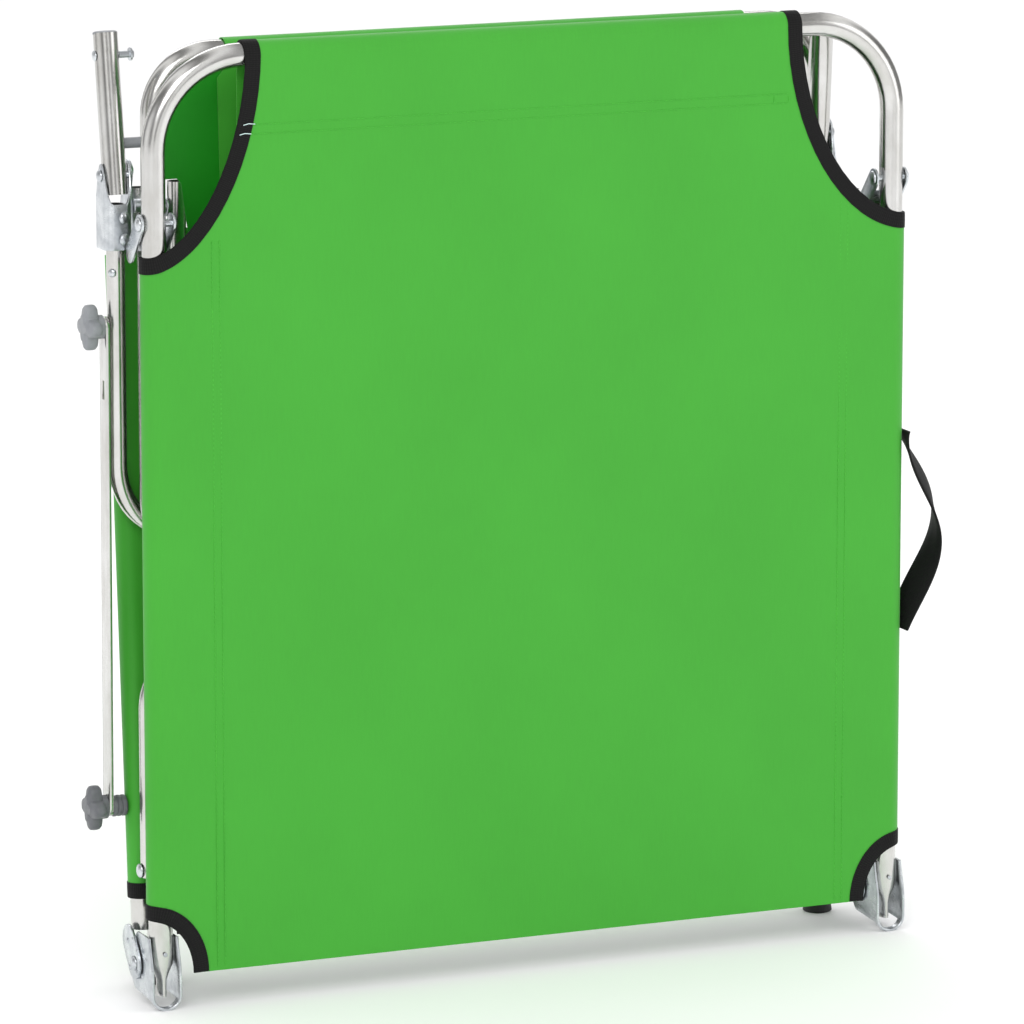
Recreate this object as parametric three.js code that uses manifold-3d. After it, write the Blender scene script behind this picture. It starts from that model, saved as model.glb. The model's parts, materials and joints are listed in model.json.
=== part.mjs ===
// Folding cot, folded for carrying: three hinged sling sections, fold-down legs and a folded sun canopy.
// Millimetres. +Z is up, X is across the cot and the front section faces -Y.
import * as THREE from 'three';
import { mergeVertices } from 'three/addons/utils/BufferGeometryUtils.js';
import Module from 'manifold-3d';

const wasm = await Module();
wasm.setup();

// ---- driving dimensions ----
const GAP = 0.3;
const TUBE_R = 9;
const THIN_TUBE_R = 7;
const RAIL_X = 297;
const FRONT_TOP_Z = 706;
const FRONT_TUBE_BOTTOM = 30;
const FRONT_BEND = 68;
const SIDES = 14;
const BEND_STEPS = 7;

const CLOTH = 1.6;
const SLEEVE_IN = TUBE_R + GAP;
const SLEEVE_OUT = SLEEVE_IN + CLOTH;
const SLEEVE_EASE = 0.6;
const WIDE_FLAP = 42;
const NARROW_FLAP = 24;
const FRONT_CLOTH_BOTTOM = 26;
const TOP_SLEEVE_DROP = 56;

// Each corner's scoop: its reach across, its reach along the rail and its roundness.
const FRONT_SCOOPS = { topLeft: [79, 145, 1.8], topRight: [91, 147, 1.88], bottom: [33, 42, 2] };
const MIDDLE_SCOOPS = { topLeft: [60, 16, 2], topRight: [60, 16, 2], bottom: [41, 34, 2] };
const REAR_SCOOPS = { topLeft: [60, 60, 2], topRight: [60, 60, 2], bottom: [30, 24, 2] };
const MIDDLE_CLOTH = { bottom: 42, top: 570 };
const REAR_CLOTH = { bottom: 137, top: 575 };

const FOLD_Y = 19;
const FOLD_Z = 30;
const PIN_R = 2.8;
const HOLE_R = 3.3;
const HEAD_R = 5.5;

const MIDDLE_BASE_Y = 32.7;
const MIDDLE_SLOPE = 0.0755;
const MIDDLE_BOTTOM = 45;
const MIDDLE_TOP = 566;
const TOP_FITTINGS_Z = 556;

const REAR_X = 273;
const REAR_BASE_Y = 67.3;
const REAR_SLOPE = 0.058;
const REAR_BOTTOM = 15;
const REAR_TOP = 597;
const REAR_AXIS_Y = 90;
const REAR_AXIS_Z = 612;
const REAR_BAR_Z = 125;
const FOOT_HEIGHT = 13.6;

const FRONT_LEG_EAR_Z = 562;
const FRONT_LEG = { x: 293, y: 20.6, top: 572, bar: 320, bend: 60, pivot: 586 };
const LOWER_LEG = { x: 297, y: 19.4, bottom: 95, bar: 268, bend: 46, pivot: 100, radius: 8 };
const UPPER_LEG = { x: 257, y: 60, top: 607, bar: 375, bend: 40, pivot: 588 };

const CANOPY_Y = 40;
const CANOPY_LEFT = -312;
const CANOPY_RIGHT = 254;
const CANOPY_BAR_Z = 347;
const KNUCKLE = { bottom: 563, rim: 596, pivot: 617, earRadius: 9, half: TUBE_R + 0.5, sheet: 1.5 };
const HOOP = { left: -276, right: 262, y: 58.3, bottom: 630, top: 701, bend: 45 };
const FRONT_SLEEVE = { left: -226, right: 214 };
const ROOF = { left: -221, right: 198, lowHalf: 192, wingLeft: -262, wingBottom: 618, wingTop: 672 };
const ARM = { width: 15, thickness: 3.2, topZ: 506, lowZ: 145 };
const KNOB = { radius: 17, hub: 9, length: 16, lobes: 4, waist: 0.58 };
const SLIM_KNOB_R = 9.2;

// The middle of the folded cot's bounding box, which the origin stands under.
const ORIGIN_X = 0.2;
const ORIGIN_Y = 48.44;

const alu = 0xc9cbcd;
const zinc = 0xa9adb1;
const green = 0x50bb3e;
const black = 0x1d1d1f;
const gray = 0x8d9095;

const cot = new THREE.Group();
const middleGroup = new THREE.Group();
middleGroup.position.set(0, MIDDLE_BASE_Y, 0);
middleGroup.rotation.x = -Math.atan(MIDDLE_SLOPE);
const rearGroup = new THREE.Group();
rearGroup.position.set(0, REAR_BASE_Y, 0);
rearGroup.rotation.x = -Math.atan(REAR_SLOPE);
cot.add(middleGroup, rearGroup);

const middleY = (z) => MIDDLE_BASE_Y + MIDDLE_SLOPE * z;
const rearY = (z) => REAR_BASE_Y + REAR_SLOPE * z;

// ---- solids ----
function piece(name, geometry, color, roughness, metalness, group = cot) {
  const mesh = new THREE.Mesh(geometry, new THREE.MeshStandardMaterial({ color, roughness, metalness }));
  mesh.name = name;
  group.add(mesh);
}
const metalPiece = (name, geometry, color = alu) => piece(name, geometry, color, 0.3, 0.9);
const clothPiece = (name, geometry, group) => piece(name, geometry, green, 0.85, 0, group);

function toSolid(geometry) {
  const bare = geometry.clone();
  bare.deleteAttribute('normal');
  bare.deleteAttribute('uv');
  const merged = mergeVertices(bare, 1e-4);
  const vertProperties = new Float32Array(merged.attributes.position.array);
  const triVerts = new Uint32Array(merged.index.array);
  return new wasm.Manifold(new wasm.Mesh({ numProp: 3, vertProperties, triVerts }));
}

function toGeometry(solid) {
  const mesh = solid.getMesh();
  const geometry = new THREE.BufferGeometry();
  geometry.setAttribute('position', new THREE.BufferAttribute(new Float32Array(mesh.vertProperties), 3));
  geometry.setIndex(new THREE.BufferAttribute(new Uint32Array(mesh.triVerts), 1));
  return geometry;
}

function join(parts) {
  return toGeometry(parts.map(toSolid).reduce((whole, part) => whole.add(part)));
}

function cut(geometry, cutters) {
  return toGeometry(cutters.map(toSolid).reduce((whole, part) => whole.subtract(part), toSolid(geometry)));
}

// A round rod along X between two x positions.
function rodX(radius, x0, x1, y, z, sides = 12) {
  const rod = new THREE.CylinderGeometry(radius, radius, Math.abs(x1 - x0), sides);
  rod.rotateZ(Math.PI / 2);
  return rod.translate((x0 + x1) / 2, y, z);
}

// A rivet or hinge pin along X, with a flat head outside each end.
function headedPin(x0, x1, y, z, radius = PIN_R, headRadius = HEAD_R) {
  const [low, high] = [Math.min(x0, x1), Math.max(x0, x1)];
  const head = 1.8;
  const profile = [
    [0, low - head], [headRadius, low - head], [headRadius, low], [radius, low],
    [radius, high], [headRadius, high], [headRadius, high + head], [0, high + head],
  ].map(([r, h]) => new THREE.Vector2(r, h));
  const pin = new THREE.LatheGeometry(profile, 12);
  pin.rotateZ(-Math.PI / 2);
  return pin.translate(0, y, z);
}

function box(x0, x1, y0, y1, z0, z1) {
  const solid = new THREE.BoxGeometry(Math.abs(x1 - x0), y1 - y0, z1 - z0);
  return solid.translate((x0 + x1) / 2, (y0 + y1) / 2, (z0 + z1) / 2);
}

// A flat plate whose outline is drawn in the YZ plane, between two x positions.
function plate(outline, x0, x1, curveSegments = 3) {
  const [low, high] = [Math.min(x0, x1), Math.max(x0, x1)];
  const solid = new THREE.ExtrudeGeometry(outline, { depth: high - low, bevelEnabled: false, curveSegments });
  solid.applyMatrix4(new THREE.Matrix4().makeBasis(
    new THREE.Vector3(0, 1, 0), new THREE.Vector3(0, 0, 1), new THREE.Vector3(1, 0, 0)));
  return solid.translate(low, 0, 0);
}

// A strip with round ends, from one YZ point to another.
function strip(from, to, radius) {
  const angle = Math.atan2(to[1] - from[1], to[0] - from[0]);
  const outline = new THREE.Shape();
  outline.absarc(from[0], from[1], radius, angle + Math.PI / 2, angle + 1.5 * Math.PI, false);
  outline.absarc(to[0], to[1], radius, angle - Math.PI / 2, angle + Math.PI / 2, false);
  return outline;
}

// The centre line of a bent tube: straight runs with an arc at each corner.
class TubePath extends THREE.Curve {
  constructor(corners, bend) {
    super();
    this.stations = [];
    const add = (point, tangent) => this.stations.push({ point, tangent });
    corners.forEach((corner, i) => {
      const before = i > 0 ? corner.clone().sub(corners[i - 1]).normalize() : null;
      const after = i < corners.length - 1 ? corners[i + 1].clone().sub(corner).normalize() : null;
      if (!before || !after) {
        add(corner, before ?? after);
        return;
      }
      const turn = before.angleTo(after);
      const centre = corner.clone().addScaledVector(before, -bend * Math.tan(turn / 2));
      const inward = after.clone().addScaledVector(before, -after.dot(before)).normalize();
      centre.addScaledVector(inward, bend);
      for (let k = 0; k <= BEND_STEPS; k += 1) {
        const angle = (turn * k) / BEND_STEPS;
        const point = centre.clone()
          .addScaledVector(inward, -bend * Math.cos(angle))
          .addScaledVector(before, bend * Math.sin(angle));
        const tangent = before.clone().multiplyScalar(Math.cos(angle));
        add(point, tangent.addScaledVector(inward, Math.sin(angle)));
      }
    });
  }

  station(u) {
    return this.stations[Math.round(u * (this.stations.length - 1))];
  }

  getPointAt(u) {
    return this.station(u).point.clone();
  }

  getTangentAt(u) {
    return this.station(u).tangent.clone();
  }
}

function bentTube(points, bend, radius) {
  const path = new TubePath(points.map((p) => new THREE.Vector3(...p)), bend);
  const section = new THREE.Shape();
  section.absarc(0, 0, radius, 0, 2 * Math.PI, false);
  const options = { steps: path.stations.length - 1, curveSegments: SIDES / 2, extrudePath: path };
  return new THREE.ExtrudeGeometry(section, options);
}

// A U of tube with its two free ends at endZ and its crossbar at barZ.
function hoop(left, right, y, endZ, barZ, bend, radius) {
  return bentTube([[left, y, endZ], [left, y, barZ], [right, y, barZ], [right, y, endZ]], bend, radius);
}

// ---- sling cloth ----
// One sheet on the face side of two rails, wrapped round each rail and sewn back as a flap.
function slingBlank(railX, face, bottom, top, flap) {
  const outline = new THREE.Shape();
  outline.moveTo(-railX + flap, -SLEEVE_OUT);
  outline.lineTo(-railX, -SLEEVE_OUT);
  outline.absarc(-railX, 0, SLEEVE_OUT, -Math.PI / 2, -1.5 * Math.PI, true);
  outline.lineTo(railX, SLEEVE_OUT);
  outline.absarc(railX, 0, SLEEVE_OUT, Math.PI / 2, -Math.PI / 2, true);
  outline.lineTo(railX - flap, -SLEEVE_OUT);
  outline.lineTo(railX - flap, -SLEEVE_IN);
  outline.lineTo(railX, -SLEEVE_IN);
  outline.absarc(railX, 0, SLEEVE_IN, -Math.PI / 2, Math.PI / 2, false);
  outline.lineTo(-railX, SLEEVE_IN);
  outline.absarc(-railX, 0, SLEEVE_IN, Math.PI / 2, 1.5 * Math.PI, false);
  outline.lineTo(-railX + flap, -SLEEVE_IN);
  const options = { depth: top - bottom, bevelEnabled: false, curveSegments: 4 };
  const blank = new THREE.ExtrudeGeometry(outline, options);
  if (face < 0) {
    blank.rotateZ(Math.PI);
  }
  return blank.translate(0, 0, bottom);
}

// The cutter for one corner: a rounded bite that reaches `across` along X and `along` down the rail.
function scoop(edgeX, edgeZ, across, along, power) {
  const margin = 30;
  const [sx, sz] = [-Math.sign(edgeX), along > 0 ? -1 : 1];
  const depth = Math.abs(along);
  const points = [[-margin, -margin], [across, -margin]];
  const steps = 8;
  for (let k = 0; k <= steps; k += 1) {
    const angle = (Math.PI / 2) * (k / steps);
    points.push([across * Math.cos(angle) ** (2 / power), depth * Math.sin(angle) ** (2 / power)]);
  }
  points.push([-margin, depth]);
  const placed = points.map(([x, z]) => new THREE.Vector2(edgeX + sx * x, edgeZ + sz * z));
  const cutter = new THREE.ExtrudeGeometry(new THREE.Shape(placed), { depth: 60, bevelEnabled: false });
  cutter.rotateX(Math.PI / 2);
  return cutter.translate(0, 30, 0);
}

function sling(railX, face, bottom, top, scoops, flap = NARROW_FLAP) {
  const edge = railX + SLEEVE_OUT;
  const [across, along, power] = scoops.bottom;
  const cutters = [[-edge, scoops.topLeft], [edge, scoops.topRight]].flatMap(([x, topScoop]) => [
    scoop(x, top, ...topScoop),
    scoop(x, bottom, across, -along, power),
  ]);
  return cut(slingBlank(railX, face, bottom, top, flap), cutters);
}

// A closed sleeve of cloth round a crossbar.
function barSleeve(y, z, radius, left, right) {
  const ring = new THREE.Shape();
  const bore = radius + SLEEVE_EASE;
  ring.absarc(y, z, bore + CLOTH, 0, 2 * Math.PI, false);
  const hole = new THREE.Path();
  hole.absarc(y, z, bore, 0, 2 * Math.PI, true);
  ring.holes.push(hole);
  return plate(ring, left, right, 8);
}

// ---- front section ----
const sides = [['left', -1], ['right', 1]];
const pivotHole = (side, x, y, z, reach = 20, radius = HOLE_R) =>
  rodX(radius, side * (x - reach), side * (x + reach), y, z);

metalPiece('front_frame', cut(
  hoop(-RAIL_X, RAIL_X, 0, FRONT_TUBE_BOTTOM, FRONT_TOP_Z, FRONT_BEND, TUBE_R),
  sides.map(([, side]) => pivotHole(side, RAIL_X, 0, FRONT_LEG.pivot))));

const frontSheet = sling(RAIL_X, -1, FRONT_CLOTH_BOTTOM, FRONT_TOP_Z, FRONT_SCOOPS, WIDE_FLAP);
const sleeveEnds = [FRONT_SLEEVE.left, FRONT_SLEEVE.right];
const frontBack = box(...sleeveEnds, SLEEVE_IN, SLEEVE_OUT, FRONT_TOP_Z - TOP_SLEEVE_DROP, FRONT_TOP_Z);
const frontSleeve = barSleeve(0, FRONT_TOP_Z, TUBE_R, ...sleeveEnds);
const bracketNotches = sides.map(([, side]) =>
  box(side * (RAIL_X - 16), side * (RAIL_X + 16), 4, SLEEVE_OUT + 1, FRONT_LEG_EAR_Z - 8, FRONT_TOP_Z));
clothPiece('front_sling', join([cut(frontSheet, bracketNotches), frontSleeve, frontBack]));

// The stamped shoe on each lower tube end: two cheeks joined by a web behind the tube, open in front.
function frontShoe(side) {
  const cheek = new THREE.Shape();
  cheek.moveTo(-13.8, 55);
  cheek.lineTo(-13.8, 12);
  cheek.quadraticCurveTo(-13.8, 0, -3, 0);
  cheek.lineTo(5, 0);
  cheek.quadraticCurveTo(14, 2, 36, 24);
  cheek.quadraticCurveTo(43, 33, 34, 44);
  cheek.lineTo(11, 55);
  const [near, far] = [TUBE_R + 0.5, TUBE_R + 2.3];
  const cheeks = [-1, 1].map((hand) =>
    plate(cheek, side * RAIL_X + hand * near, side * RAIL_X + hand * far));
  const web = box(side * RAIL_X - far, side * RAIL_X + far, SLEEVE_IN, SLEEVE_OUT, 34, 52);
  return cut(join([...cheeks, web]), [pivotHole(side, RAIL_X, FOLD_Y, FOLD_Z)]);
}

// The middle section's shoe: two outer cheeks round the front shoe, the inner one also holding a leg pivot.
function middleShoe(side) {
  const [near, far] = [12, 13.8];
  const foot = strip([FOLD_Y, FOLD_Z], [middleY(61), 61], 11.6);
  const ear = strip([FOLD_Y, FOLD_Z], [LOWER_LEG.y, LOWER_LEG.pivot], 6.4);
  const outerX = [side * (RAIL_X + near), side * (RAIL_X + far)];
  const innerX = [side * (RAIL_X - near), side * (RAIL_X - far)];
  const web = box(side * RAIL_X - far, side * RAIL_X + far, middleY(63) + 9.4, middleY(63) + 11, 60, 65);
  const solid = join([plate(foot, ...outerX), plate(foot, ...innerX), plate(ear, ...innerX), web]);
  return cut(solid, [
    pivotHole(side, RAIL_X, FOLD_Y, FOLD_Z),
    rodX(HOLE_R, side * (RAIL_X - 20), side * RAIL_X, LOWER_LEG.y, LOWER_LEG.pivot),
  ]);
}

function frontLegBracket(side) {
  const ear = strip([0, FRONT_LEG.pivot], [FRONT_LEG.y, FRONT_LEG_EAR_Z], 7.5);
  const [outerNear, outerFar] = [9.6, 11.2];
  const [near, far] = [13.4, 15];
  const outer = plate(ear, side * (RAIL_X + outerNear), side * (RAIL_X + outerFar));
  const inner = plate(ear, side * (RAIL_X - near), side * (RAIL_X - far));
  const [webLow, webHigh] = [FRONT_LEG_EAR_Z + 2, FRONT_LEG_EAR_Z + 13];
  const web = box(side * (RAIL_X + outerFar), side * (RAIL_X - far), 9.6, 11, webLow, webHigh);
  return cut(join([outer, inner, web]), [pivotHole(side, RAIL_X, 0, FRONT_LEG.pivot)]);
}

metalPiece('front_leg', hoop(
  -FRONT_LEG.x, FRONT_LEG.x, FRONT_LEG.y, FRONT_LEG.top, FRONT_LEG.bar, FRONT_LEG.bend, TUBE_R));

for (const [name, side] of sides) {
  metalPiece(`front_shoe_${name}`, frontShoe(side), zinc);
  metalPiece(`middle_shoe_${name}`, middleShoe(side), zinc);
  metalPiece(`fold_pin_${name}`,
    headedPin(side * (RAIL_X - 14.1), side * (RAIL_X + 14.1), FOLD_Y, FOLD_Z), zinc);
  metalPiece(`front_leg_bracket_${name}`, frontLegBracket(side), zinc);
  metalPiece(`front_leg_pin_${name}`,
    headedPin(side * (RAIL_X - 15.3), side * (RAIL_X + 11.5), 0, FRONT_LEG.pivot), zinc);
}

// The webbing carry strap on the right edge, a flat loop standing out from the sleeve.
function carryStrap() {
  const [low, high, bulge, thickness, width] = [235, 392, 29, 2, 26];
  const start = RAIL_X + SLEEVE_OUT + GAP;
  const inner = [];
  const outer = [];
  const steps = 16;
  for (let k = 0; k <= steps; k += 1) {
    const t = k / steps;
    const x = start + bulge * Math.sin(Math.PI * t) ** 2;
    const slope = (bulge * Math.PI * Math.sin(2 * Math.PI * t)) / (high - low);
    const scale = thickness / Math.hypot(1, slope);
    const z = low + (high - low) * t;
    inner.push(new THREE.Vector2(x, z));
    outer.unshift(new THREE.Vector2(x + scale, z - slope * scale));
  }
  const band = new THREE.Shape([...inner, ...outer]);
  const strap = new THREE.ExtrudeGeometry(band, { depth: width, bevelEnabled: false });
  strap.rotateX(Math.PI / 2);
  return strap.translate(0, width / 2, 0);
}
piece('carry_strap', carryStrap(), black, 0.9, 0);

// ---- middle section ----
const armY = middleY(ARM.lowZ);
for (const [name, side] of sides) {
  const rail = bentTube([
    [side * RAIL_X, middleY(MIDDLE_BOTTOM), MIDDLE_BOTTOM],
    [side * RAIL_X, middleY(MIDDLE_TOP), MIDDLE_TOP],
  ], 1, TUBE_R);
  metalPiece(`middle_rail_${name}`, cut(rail, [pivotHole(side, RAIL_X, armY, ARM.lowZ)]));
}

const armAlongRail = ARM.lowZ * Math.hypot(1, MIDDLE_SLOPE);
const armHoles = sides.map(([, side]) =>
  rodX(HOLE_R + 1, side * (RAIL_X - 16), side * (RAIL_X + 16), 0, armAlongRail));
clothPiece('middle_sling',
  cut(sling(RAIL_X, 1, MIDDLE_CLOTH.bottom, MIDDLE_CLOTH.top, MIDDLE_SCOOPS), armHoles),
  middleGroup);

metalPiece('lower_leg', cut(
  hoop(-LOWER_LEG.x, LOWER_LEG.x, LOWER_LEG.y, LOWER_LEG.bottom, LOWER_LEG.bar,
    LOWER_LEG.bend, LOWER_LEG.radius),
  sides.map(([, side]) => pivotHole(side, LOWER_LEG.x, LOWER_LEG.y, LOWER_LEG.pivot))));

metalPiece('upper_leg', cut(
  hoop(-UPPER_LEG.x, UPPER_LEG.x, UPPER_LEG.y, UPPER_LEG.top, UPPER_LEG.bar,
    UPPER_LEG.bend, THIN_TUBE_R),
  sides.map(([, side]) => pivotHole(side, UPPER_LEG.x, UPPER_LEG.y, UPPER_LEG.pivot))));

for (const [name, side] of sides) {
  metalPiece(`lower_leg_pin_${name}`,
    headedPin(side * (RAIL_X - 14.1), side * (RAIL_X + 8.4), LOWER_LEG.y, LOWER_LEG.pivot), zinc);
  const railY = middleY(TOP_FITTINGS_Z);
  const ear = strip([UPPER_LEG.y, UPPER_LEG.pivot], [railY, TOP_FITTINGS_Z], 7);
  const stub = rodX(5, side * 265, side * 285.1, railY, TOP_FITTINGS_Z);
  const bracket = join([plate(ear, side * 264.4, side * 266), stub]);
  metalPiece(`upper_leg_bracket_${name}`,
    cut(bracket, [rodX(HOLE_R, side * 250, side * 270, UPPER_LEG.y, UPPER_LEG.pivot)]), zinc);
  metalPiece(`upper_leg_pin_${name}`,
    headedPin(side * 249.7, side * 266.3, UPPER_LEG.y, UPPER_LEG.pivot, PIN_R, 4.5), zinc);
}

// ---- rear section ----
clothPiece('rear_sling',
  sling(REAR_X, -1, REAR_CLOTH.bottom, REAR_CLOTH.top, REAR_SCOOPS), rearGroup);
const rearBarY = rearY(REAR_BAR_Z);
metalPiece('rear_crossbar', rodX(8, -(REAR_X - 9.3), REAR_X - 9.3, rearBarY, REAR_BAR_Z, SIDES));
for (const [name, side] of sides) {
  metalPiece(`rear_rail_${name}`, bentTube([
    [side * REAR_X, rearY(REAR_BOTTOM), REAR_BOTTOM],
    [side * REAR_X, rearY(REAR_TOP), REAR_TOP],
  ], 1, TUBE_R));
  const foot = new THREE.CylinderGeometry(TUBE_R + 1.2, TUBE_R + 2.4, FOOT_HEIGHT, SIDES);
  foot.rotateX(Math.PI / 2);
  piece(`rear_foot_${name}`, foot.translate(side * REAR_X, rearY(7), FOOT_HEIGHT / 2), black, 0.6, 0);
  const hole = [rodX(HOLE_R, side * 275, side * 295, REAR_AXIS_Y, REAR_AXIS_Z)];
  const fixed = strip([middleY(TOP_FITTINGS_Z), TOP_FITTINGS_Z], [REAR_AXIS_Y, REAR_AXIS_Z], 8.5);
  const moving = strip([rearY(572), 572], [REAR_AXIS_Y, REAR_AXIS_Z], 8.5);
  metalPiece(`rear_hinge_fixed_${name}`, cut(plate(fixed, side * 285.4, side * 287.4), hole), zinc);
  metalPiece(`rear_hinge_moving_${name}`, cut(plate(moving, side * 282.5, side * 284.5), hole), zinc);
  metalPiece(`rear_hinge_pin_${name}`, headedPin(side * 282.1, side * 287.8, REAR_AXIS_Y, REAR_AXIS_Z), zinc);
}

// ---- canopy ----
const canopySides = [['left', CANOPY_LEFT], ['right', CANOPY_RIGHT]];
metalPiece('canopy_lower_hoop', cut(
  hoop(CANOPY_LEFT, CANOPY_RIGHT, CANOPY_Y, KNUCKLE.rim, CANOPY_BAR_Z, 55, THIN_TUBE_R),
  canopySides.map(([, x]) => rodX(HOLE_R, x - 12, x + 12, CANOPY_Y, ARM.topZ))));
metalPiece('canopy_upper_hoop', hoop(
  HOOP.left, HOOP.right, HOOP.y, HOOP.bottom, HOOP.top, HOOP.bend, TUBE_R));
const spacerFrom = CANOPY_LEFT + KNUCKLE.half + KNUCKLE.sheet + GAP;
metalPiece('canopy_spacer',
  rodX(4, spacerFrom, HOOP.left - TUBE_R - GAP, HOOP.y - 4, HOOP.bottom + 8), gray);

// The roof cloth, sleeved on the upper hoop's bar and on the lower hoop's bar, with a wing at its upper left.
function canopyCloth() {
  const topFront = HOOP.y - SLEEVE_OUT;
  const lowFront = CANOPY_Y - THIN_TUBE_R - GAP - CLOTH;
  const frontAt = (z) => lowFront + ((topFront - lowFront) * (z - CANOPY_BAR_Z)) / (HOOP.top - CANOPY_BAR_Z);
  const panel = (left, right, bottom, top) => {
    const outline = new THREE.Shape();
    outline.moveTo(frontAt(top), top);
    outline.lineTo(frontAt(top) + CLOTH, top);
    outline.lineTo(frontAt(bottom) + CLOTH, bottom);
    outline.lineTo(frontAt(bottom), bottom);
    return plate(outline, left, right);
  };
  return join([
    panel(ROOF.left, ROOF.right, CANOPY_BAR_Z, HOOP.top),
    panel(ROOF.wingLeft, ROOF.left + CLOTH, ROOF.wingBottom, ROOF.wingTop),
    barSleeve(HOOP.y, HOOP.top, TUBE_R, ROOF.left, ROOF.right),
    barSleeve(CANOPY_Y, CANOPY_BAR_Z, THIN_TUBE_R, -ROOF.lowHalf, ROOF.lowHalf),
  ]);
}
clothPiece('canopy_sheet', canopyCloth());

// The bent-sheet knuckle: a channel riveted to the lower hoop, with open ears for the support tube.
function knuckle(x) {
  const cheek = new THREE.Shape();
  const [front, back] = [CANOPY_Y - KNUCKLE.half, CANOPY_Y + KNUCKLE.half];
  cheek.moveTo(front, KNUCKLE.bottom);
  cheek.lineTo(back, KNUCKLE.bottom);
  cheek.lineTo(back, KNUCKLE.rim + 4);
  cheek.absarc(CANOPY_Y, KNUCKLE.pivot, KNUCKLE.earRadius, 0, Math.PI, false);
  cheek.lineTo(front, KNUCKLE.rim);
  const outer = KNUCKLE.half + KNUCKLE.sheet;
  const cheeks = [-1, 1].map((hand) => plate(cheek, x + hand * KNUCKLE.half, x + hand * outer));
  const web = box(x - outer, x + outer, front - KNUCKLE.sheet, front + 0.2, KNUCKLE.bottom, KNUCKLE.rim);
  return cut(join([...cheeks, web]), [rodX(HOLE_R, x - 15, x + 15, CANOPY_Y, KNUCKLE.pivot)]);
}

// The support tube above each knuckle. The left one leans back; the shorter right one leans forward.
const SUPPORTS = { left: { topY: 57, topZ: 718 }, right: { topY: 34, topZ: 694 } };
for (const [name, x] of canopySides) {
  const { topY, topZ } = SUPPORTS[name];
  const foot = new THREE.Vector3(x, CANOPY_Y, KNUCKLE.pivot);
  const top = new THREE.Vector3(x, topY, topZ);
  const axis = top.clone().sub(foot).normalize();
  const bottom = foot.clone().addScaledVector(axis, -13);
  const tube = bentTube([bottom.toArray(), top.toArray()], 1, TUBE_R);
  metalPiece(`support_tube_${name}`, cut(tube, [rodX(HOLE_R, x - 14, x + 14, CANOPY_Y, KNUCKLE.pivot)]));
  const cap = new THREE.CylinderGeometry(TUBE_R - 1.5, TUBE_R + 0.4, 2.6, SIDES);
  cap.applyQuaternion(new THREE.Quaternion().setFromUnitVectors(new THREE.Vector3(0, 1, 0), axis));
  const capAt = top.clone().addScaledVector(axis, 1.3 + GAP);
  piece(`support_cap_${name}`, cap.translate(...capAt.toArray()), gray, 0.5, 0.1);
  metalPiece(`knuckle_${name}`, knuckle(x), zinc);
  metalPiece(`knuckle_pin_${name}`, headedPin(x - 11.3, x + 11.3, CANOPY_Y, KNUCKLE.pivot, PIN_R, 4.5), zinc);
}

// The peg on the left support tube that hooks the opened roof.
const PEG_Z = 703;
const leftLean = (SUPPORTS.left.topY - CANOPY_Y) / (SUPPORTS.left.topZ - KNUCKLE.pivot);
const pegY = CANOPY_Y + (PEG_Z - KNUCKLE.pivot) * leftLean;
const pegStart = CANOPY_LEFT + TUBE_R + GAP;
metalPiece('support_peg', join([
  rodX(2.6, pegStart, pegStart + 12, pegY, PEG_Z),
  rodX(5, pegStart + 8, pegStart + 10, pegY, PEG_Z),
]), zinc);

// Flat arms from the middle rails to the lower hoop, with a sight slot near the top.
const armFaces = { left: CANOPY_LEFT - THIN_TUBE_R - GAP, right: CANOPY_RIGHT + THIN_TUBE_R + GAP };
function arm(hand, face) {
  const outline = strip([armY, ARM.lowZ], [CANOPY_Y, ARM.topZ], ARM.width / 2);
  const bar = plate(outline, face, face + hand * ARM.thickness);
  const holes = [[armY, ARM.lowZ], [CANOPY_Y, ARM.topZ]].map(([y, z]) =>
    rodX(HOLE_R, face - 8, face + 8, y, z));
  const slot = box(face - 8, face + 8, CANOPY_Y - 2, CANOPY_Y + 3, ARM.topZ - 54, ARM.topZ - 40);
  return cut(bar, [...holes, slot]);
}

// A winged clamping knob with its screw. The hub starts at hubX and grows towards hand.
function knob(hand, hubX, screwEnd, y, z, reach = KNOB.radius) {
  const outline = new THREE.Shape();
  const steps = 32;
  for (let k = 0; k < steps; k += 1) {
    const angle = (2 * Math.PI * k) / steps;
    const lobe = 0.5 + 0.5 * Math.cos(KNOB.lobes * angle);
    const radius = reach * (KNOB.waist + (1 - KNOB.waist) * lobe);
    const [py, pz] = [y + radius * Math.cos(angle), z + radius * Math.sin(angle)];
    outline[k === 0 ? 'moveTo' : 'lineTo'](py, pz);
  }
  return join([
    rodX(Math.min(KNOB.hub, reach - 2), hubX, hubX + hand * 5, y, z, 16),
    plate(outline, hubX + hand * 4.5, hubX + hand * KNOB.length),
    rodX(PIN_R, hubX + hand * 2, screwEnd, y, z),
  ]);
}

function ring(x0, x1, outer, y, z) {
  const bore = rodX(HOLE_R, Math.min(x0, x1) - 5, Math.max(x0, x1) + 5, y, z);
  return cut(rodX(outer, x0, x1, y, z, SIDES), [bore]);
}

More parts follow.
